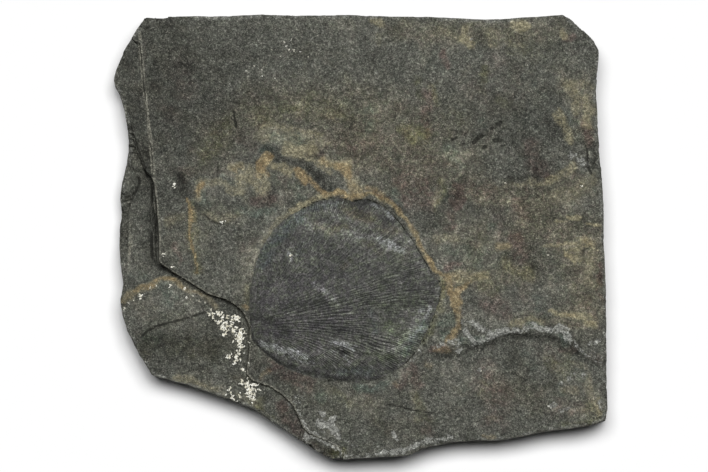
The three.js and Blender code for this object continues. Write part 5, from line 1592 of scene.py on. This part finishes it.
def leafHues(tree, place, patch):
    tones = leafTones
    level = weighted(tree, centred(tree, patch), 1.0, 0.5)
    # Lighter film with painted highlights on some ridges; darker film with painted shade along the margin
    level = weighted(tree, mask(tree, "lift"), 0.42, level)
    level = weighted(tree, mask(tree, "deep"), -0.36, level)
    between = [(0.33, tones["film"]), (0.66, tones["grey"])]
    colour = toneRamp(tree, level, tones["black"], tones["pale"], between)
    for name in ("purple", "brown", "green", "blue"):
        colour = tinted(tree, colour, patchy(tree, name, place, 0.4), tones[name])
    small = noise(tree, place, 0.8, 2, 0.6, 0.5)
    for low, high, name in ((0.48, 0.62, "violet"), (0.52, 0.38, "moss")):
        colour = tinted(tree, colour, times(tree, ease(tree, small, low, high), 0.8), tones[name])
    return colour


def veinLines(tree, colour, vein, strand):
    # Pale on the ridges and dark between them, clearer in some places than in others
    clear = mask(tree, "clear")
    contrast = weighted(tree, clear, 1.0, 0.36)
    contrast = times(tree, contrast, ease(tree, mask(tree, "outward"), -0.25, 0.5))
    lines = times(tree, sums(tree, "SUBTRACT", vein, 0.7), contrast)
    strands = times(tree, centred(tree, strand), weighted(tree, clear, 1.2, 2.2))
    return scaleColour(tree, colour, sums(tree, "POWER", naturalBase, sums(tree, "ADD", lines, strands)))


def paintedLeafSheen(tree, colour, vein, strand, coarse):
    # Painted sheen: a pale painted highlight, caught by the ridges
    paintedShine = mask(tree, "paintedSheen")
    for field, weight in ((vein, 0.5), (strand, 2.0), (coarse, 3.0)):
        paintedShine = weighted(tree, centred(tree, field), weight, paintedShine)
    paintedShine = times(tree, ease(tree, paintedShine, 0.1, 1.5), ease(tree, mask(tree, "paintedSheen"), 0.0, 0.7))
    return blendColour(tree, times(tree, paintedShine, 0.55), colour, leafTones["paintedSheen"])


def leafMaterial():
    tones = leafTones
    material, tree = newMaterial("leaf_carbon")
    place = millimetres(tree)
    across, outward = times(tree, mask(tree, "across"), 200.0), times(tree, mask(tree, "outward"), 15.0)
    alongVein = addNode(tree, "ShaderNodeCombineXYZ", {0: across, 1: outward}).outputs[0]
    strand = noise(tree, alongVein, 0.85, 3, 0.6)
    patch = noise(tree, place, 0.33, 4, 0.65, 0.6)
    coarse = noise(tree, place, 1.3, 4, 0.75, 0.3)
    grain = noise(tree, place, 2.6, 3, 0.8)
    scales = flakes(tree, place, 2.2, 0.5)
    vein = mask(tree, "vein")
    colour = leafHues(tree, place, patch)
    colour = veinLines(tree, colour, vein, strand)
    colour = paintedLeafSheen(tree, colour, vein, strand, coarse)
    for field, strength in ((coarse, 2.8), (grain, 3.8), (scales, 0.5)):
        colour = scaleColour(tree, colour, skewed(tree, field, strength))
    # Painted shade along the leaf's margin, stronger where the darker film and shade marks are
    rim = opposite(tree, ease(tree, mask(tree, "marginDistance"), 0.1, 1.0))
    rim = times(tree, rim, weighted(tree, mask(tree, "deep"), 0.8, 0.15), clamp=True)
    colour = blendColour(tree, rim, colour, tones["rim"])
    colour = scaleColour(tree, colour, tones["gain"])
    height = weightedSum(tree, [(coarse, 0.2), (grain, 0.1), (strand, 0.1), (patch, 0.15)])
    makeSurface(tree, colour, weighted(tree, grain, 0.25, 0.45), height, 0.2)
    return material


crustTones = {
    "cream": tone(212, 207, 186),
    "white": tone(246, 245, 236),
}


def crustMaterial():
    material, tree = newMaterial("mineral_white")
    place = millimetres(tree)
    mottle = noise(tree, place, 1.4, 3, 0.6)
    colour = blendColour(tree, ease(tree, mottle, 0.35, 0.65), crustTones["cream"], crustTones["white"])
    height = times(tree, noise(tree, place, 5.0, 3, 0.6), 0.06)
    makeSurface(tree, colour, weighted(tree, mottle, 0.2, 0.5), height, 0.4)
    return material


# The pieces

def dress(piece, material):
    piece.data.materials.clear()
    piece.data.materials.append(material)
    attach(piece, "root")
    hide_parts("shale_slab")


slabPiece = buildSlab()
leafPiece = buildLeaf()
crustPiece = buildCrust([slabPiece, leafPiece])
dress(slabPiece, shaleMaterial())
dress(leafPiece, leafMaterial())
dress(crustPiece, crustMaterial())
print("pieces dressed")


# Floor, light and camera

studio = {
    "floorTone": (0.86, 0.86, 0.86, 1),
    "floorSize": 1.5,           # metres, half of each side
    "world": 0.03,
    "sun": 1.86,                # strength of each of the two lamps
    "sunSoftness": 22,          # degrees
    "sunTilt": 14.5,            # degrees from overhead, towards the slab's straight upper side
    "sunLeans": (-6, 10),       # degrees to the side, for the left and the right lamp
    "cameraHeight": 3.0,        # metres above the upper face
    "sensorWidth": 36,          # mm
    "millimetresAcross": 172.5, # width of the view at the upper face
    "viewCentre": (-1.6, 0.25),
}


def buildFloor():
    bm = bmesh.new()
    bmesh.ops.create_grid(bm, x_segments=1, y_segments=1, size=studio["floorSize"])
    mesh = bpy.data.meshes.new("floor")
    bm.to_mesh(mesh)
    bm.free()
    floor = newPiece("floor", mesh)
    material, tree = newMaterial("floor_white")
    shader = addNode(tree, "ShaderNodeBsdfPrincipled", {"Base Color": studio["floorTone"], "Roughness": 0.9,
                                                       "Specular IOR Level": 0.0})
    output = addNode(tree, "ShaderNodeOutputMaterial")
    tree.links.new(shader.outputs[0], output.inputs[0])
    mesh.materials.append(material)


def buildLight():
    world = bpy.data.worlds.new("studio")
    world.use_nodes = True
    background = world.node_tree.nodes["Background"]
    background.inputs["Color"].default_value = (1, 1, 1, 1)
    background.inputs["Strength"].default_value = studio["world"]
    bpy.context.scene.world = world
    for lean, name in zip(studio["sunLeans"], ("left_lamp", "right_lamp")):
        lamp = bpy.data.lights.new(name, "SUN")
        lamp.energy = studio["sun"]
        lamp.angle = math.radians(studio["sunSoftness"])
        holder = bpy.data.objects.new(name, lamp)
        holder.rotation_euler = (-math.radians(studio["sunTilt"]), math.radians(lean), 0)
        bpy.context.scene.collection.objects.link(holder)


def buildCamera():
    lens = bpy.data.cameras.new("camera")
    lens.sensor_width = studio["sensorWidth"]
    lens.lens = studio["sensorWidth"] * studio["cameraHeight"] / (studio["millimetresAcross"] * mm)
    camera = bpy.data.objects.new("camera", lens)
    centreX, centreY = studio["viewCentre"]
    camera.location = (centreX * mm, centreY * mm, slabTop * mm + studio["cameraHeight"])
    bpy.context.scene.collection.objects.link(camera)
    bpy.context.scene.camera = camera


buildFloor()
buildLight()
buildCamera()
bpy.context.scene.view_settings.view_transform = "Standard"
print("stage set")
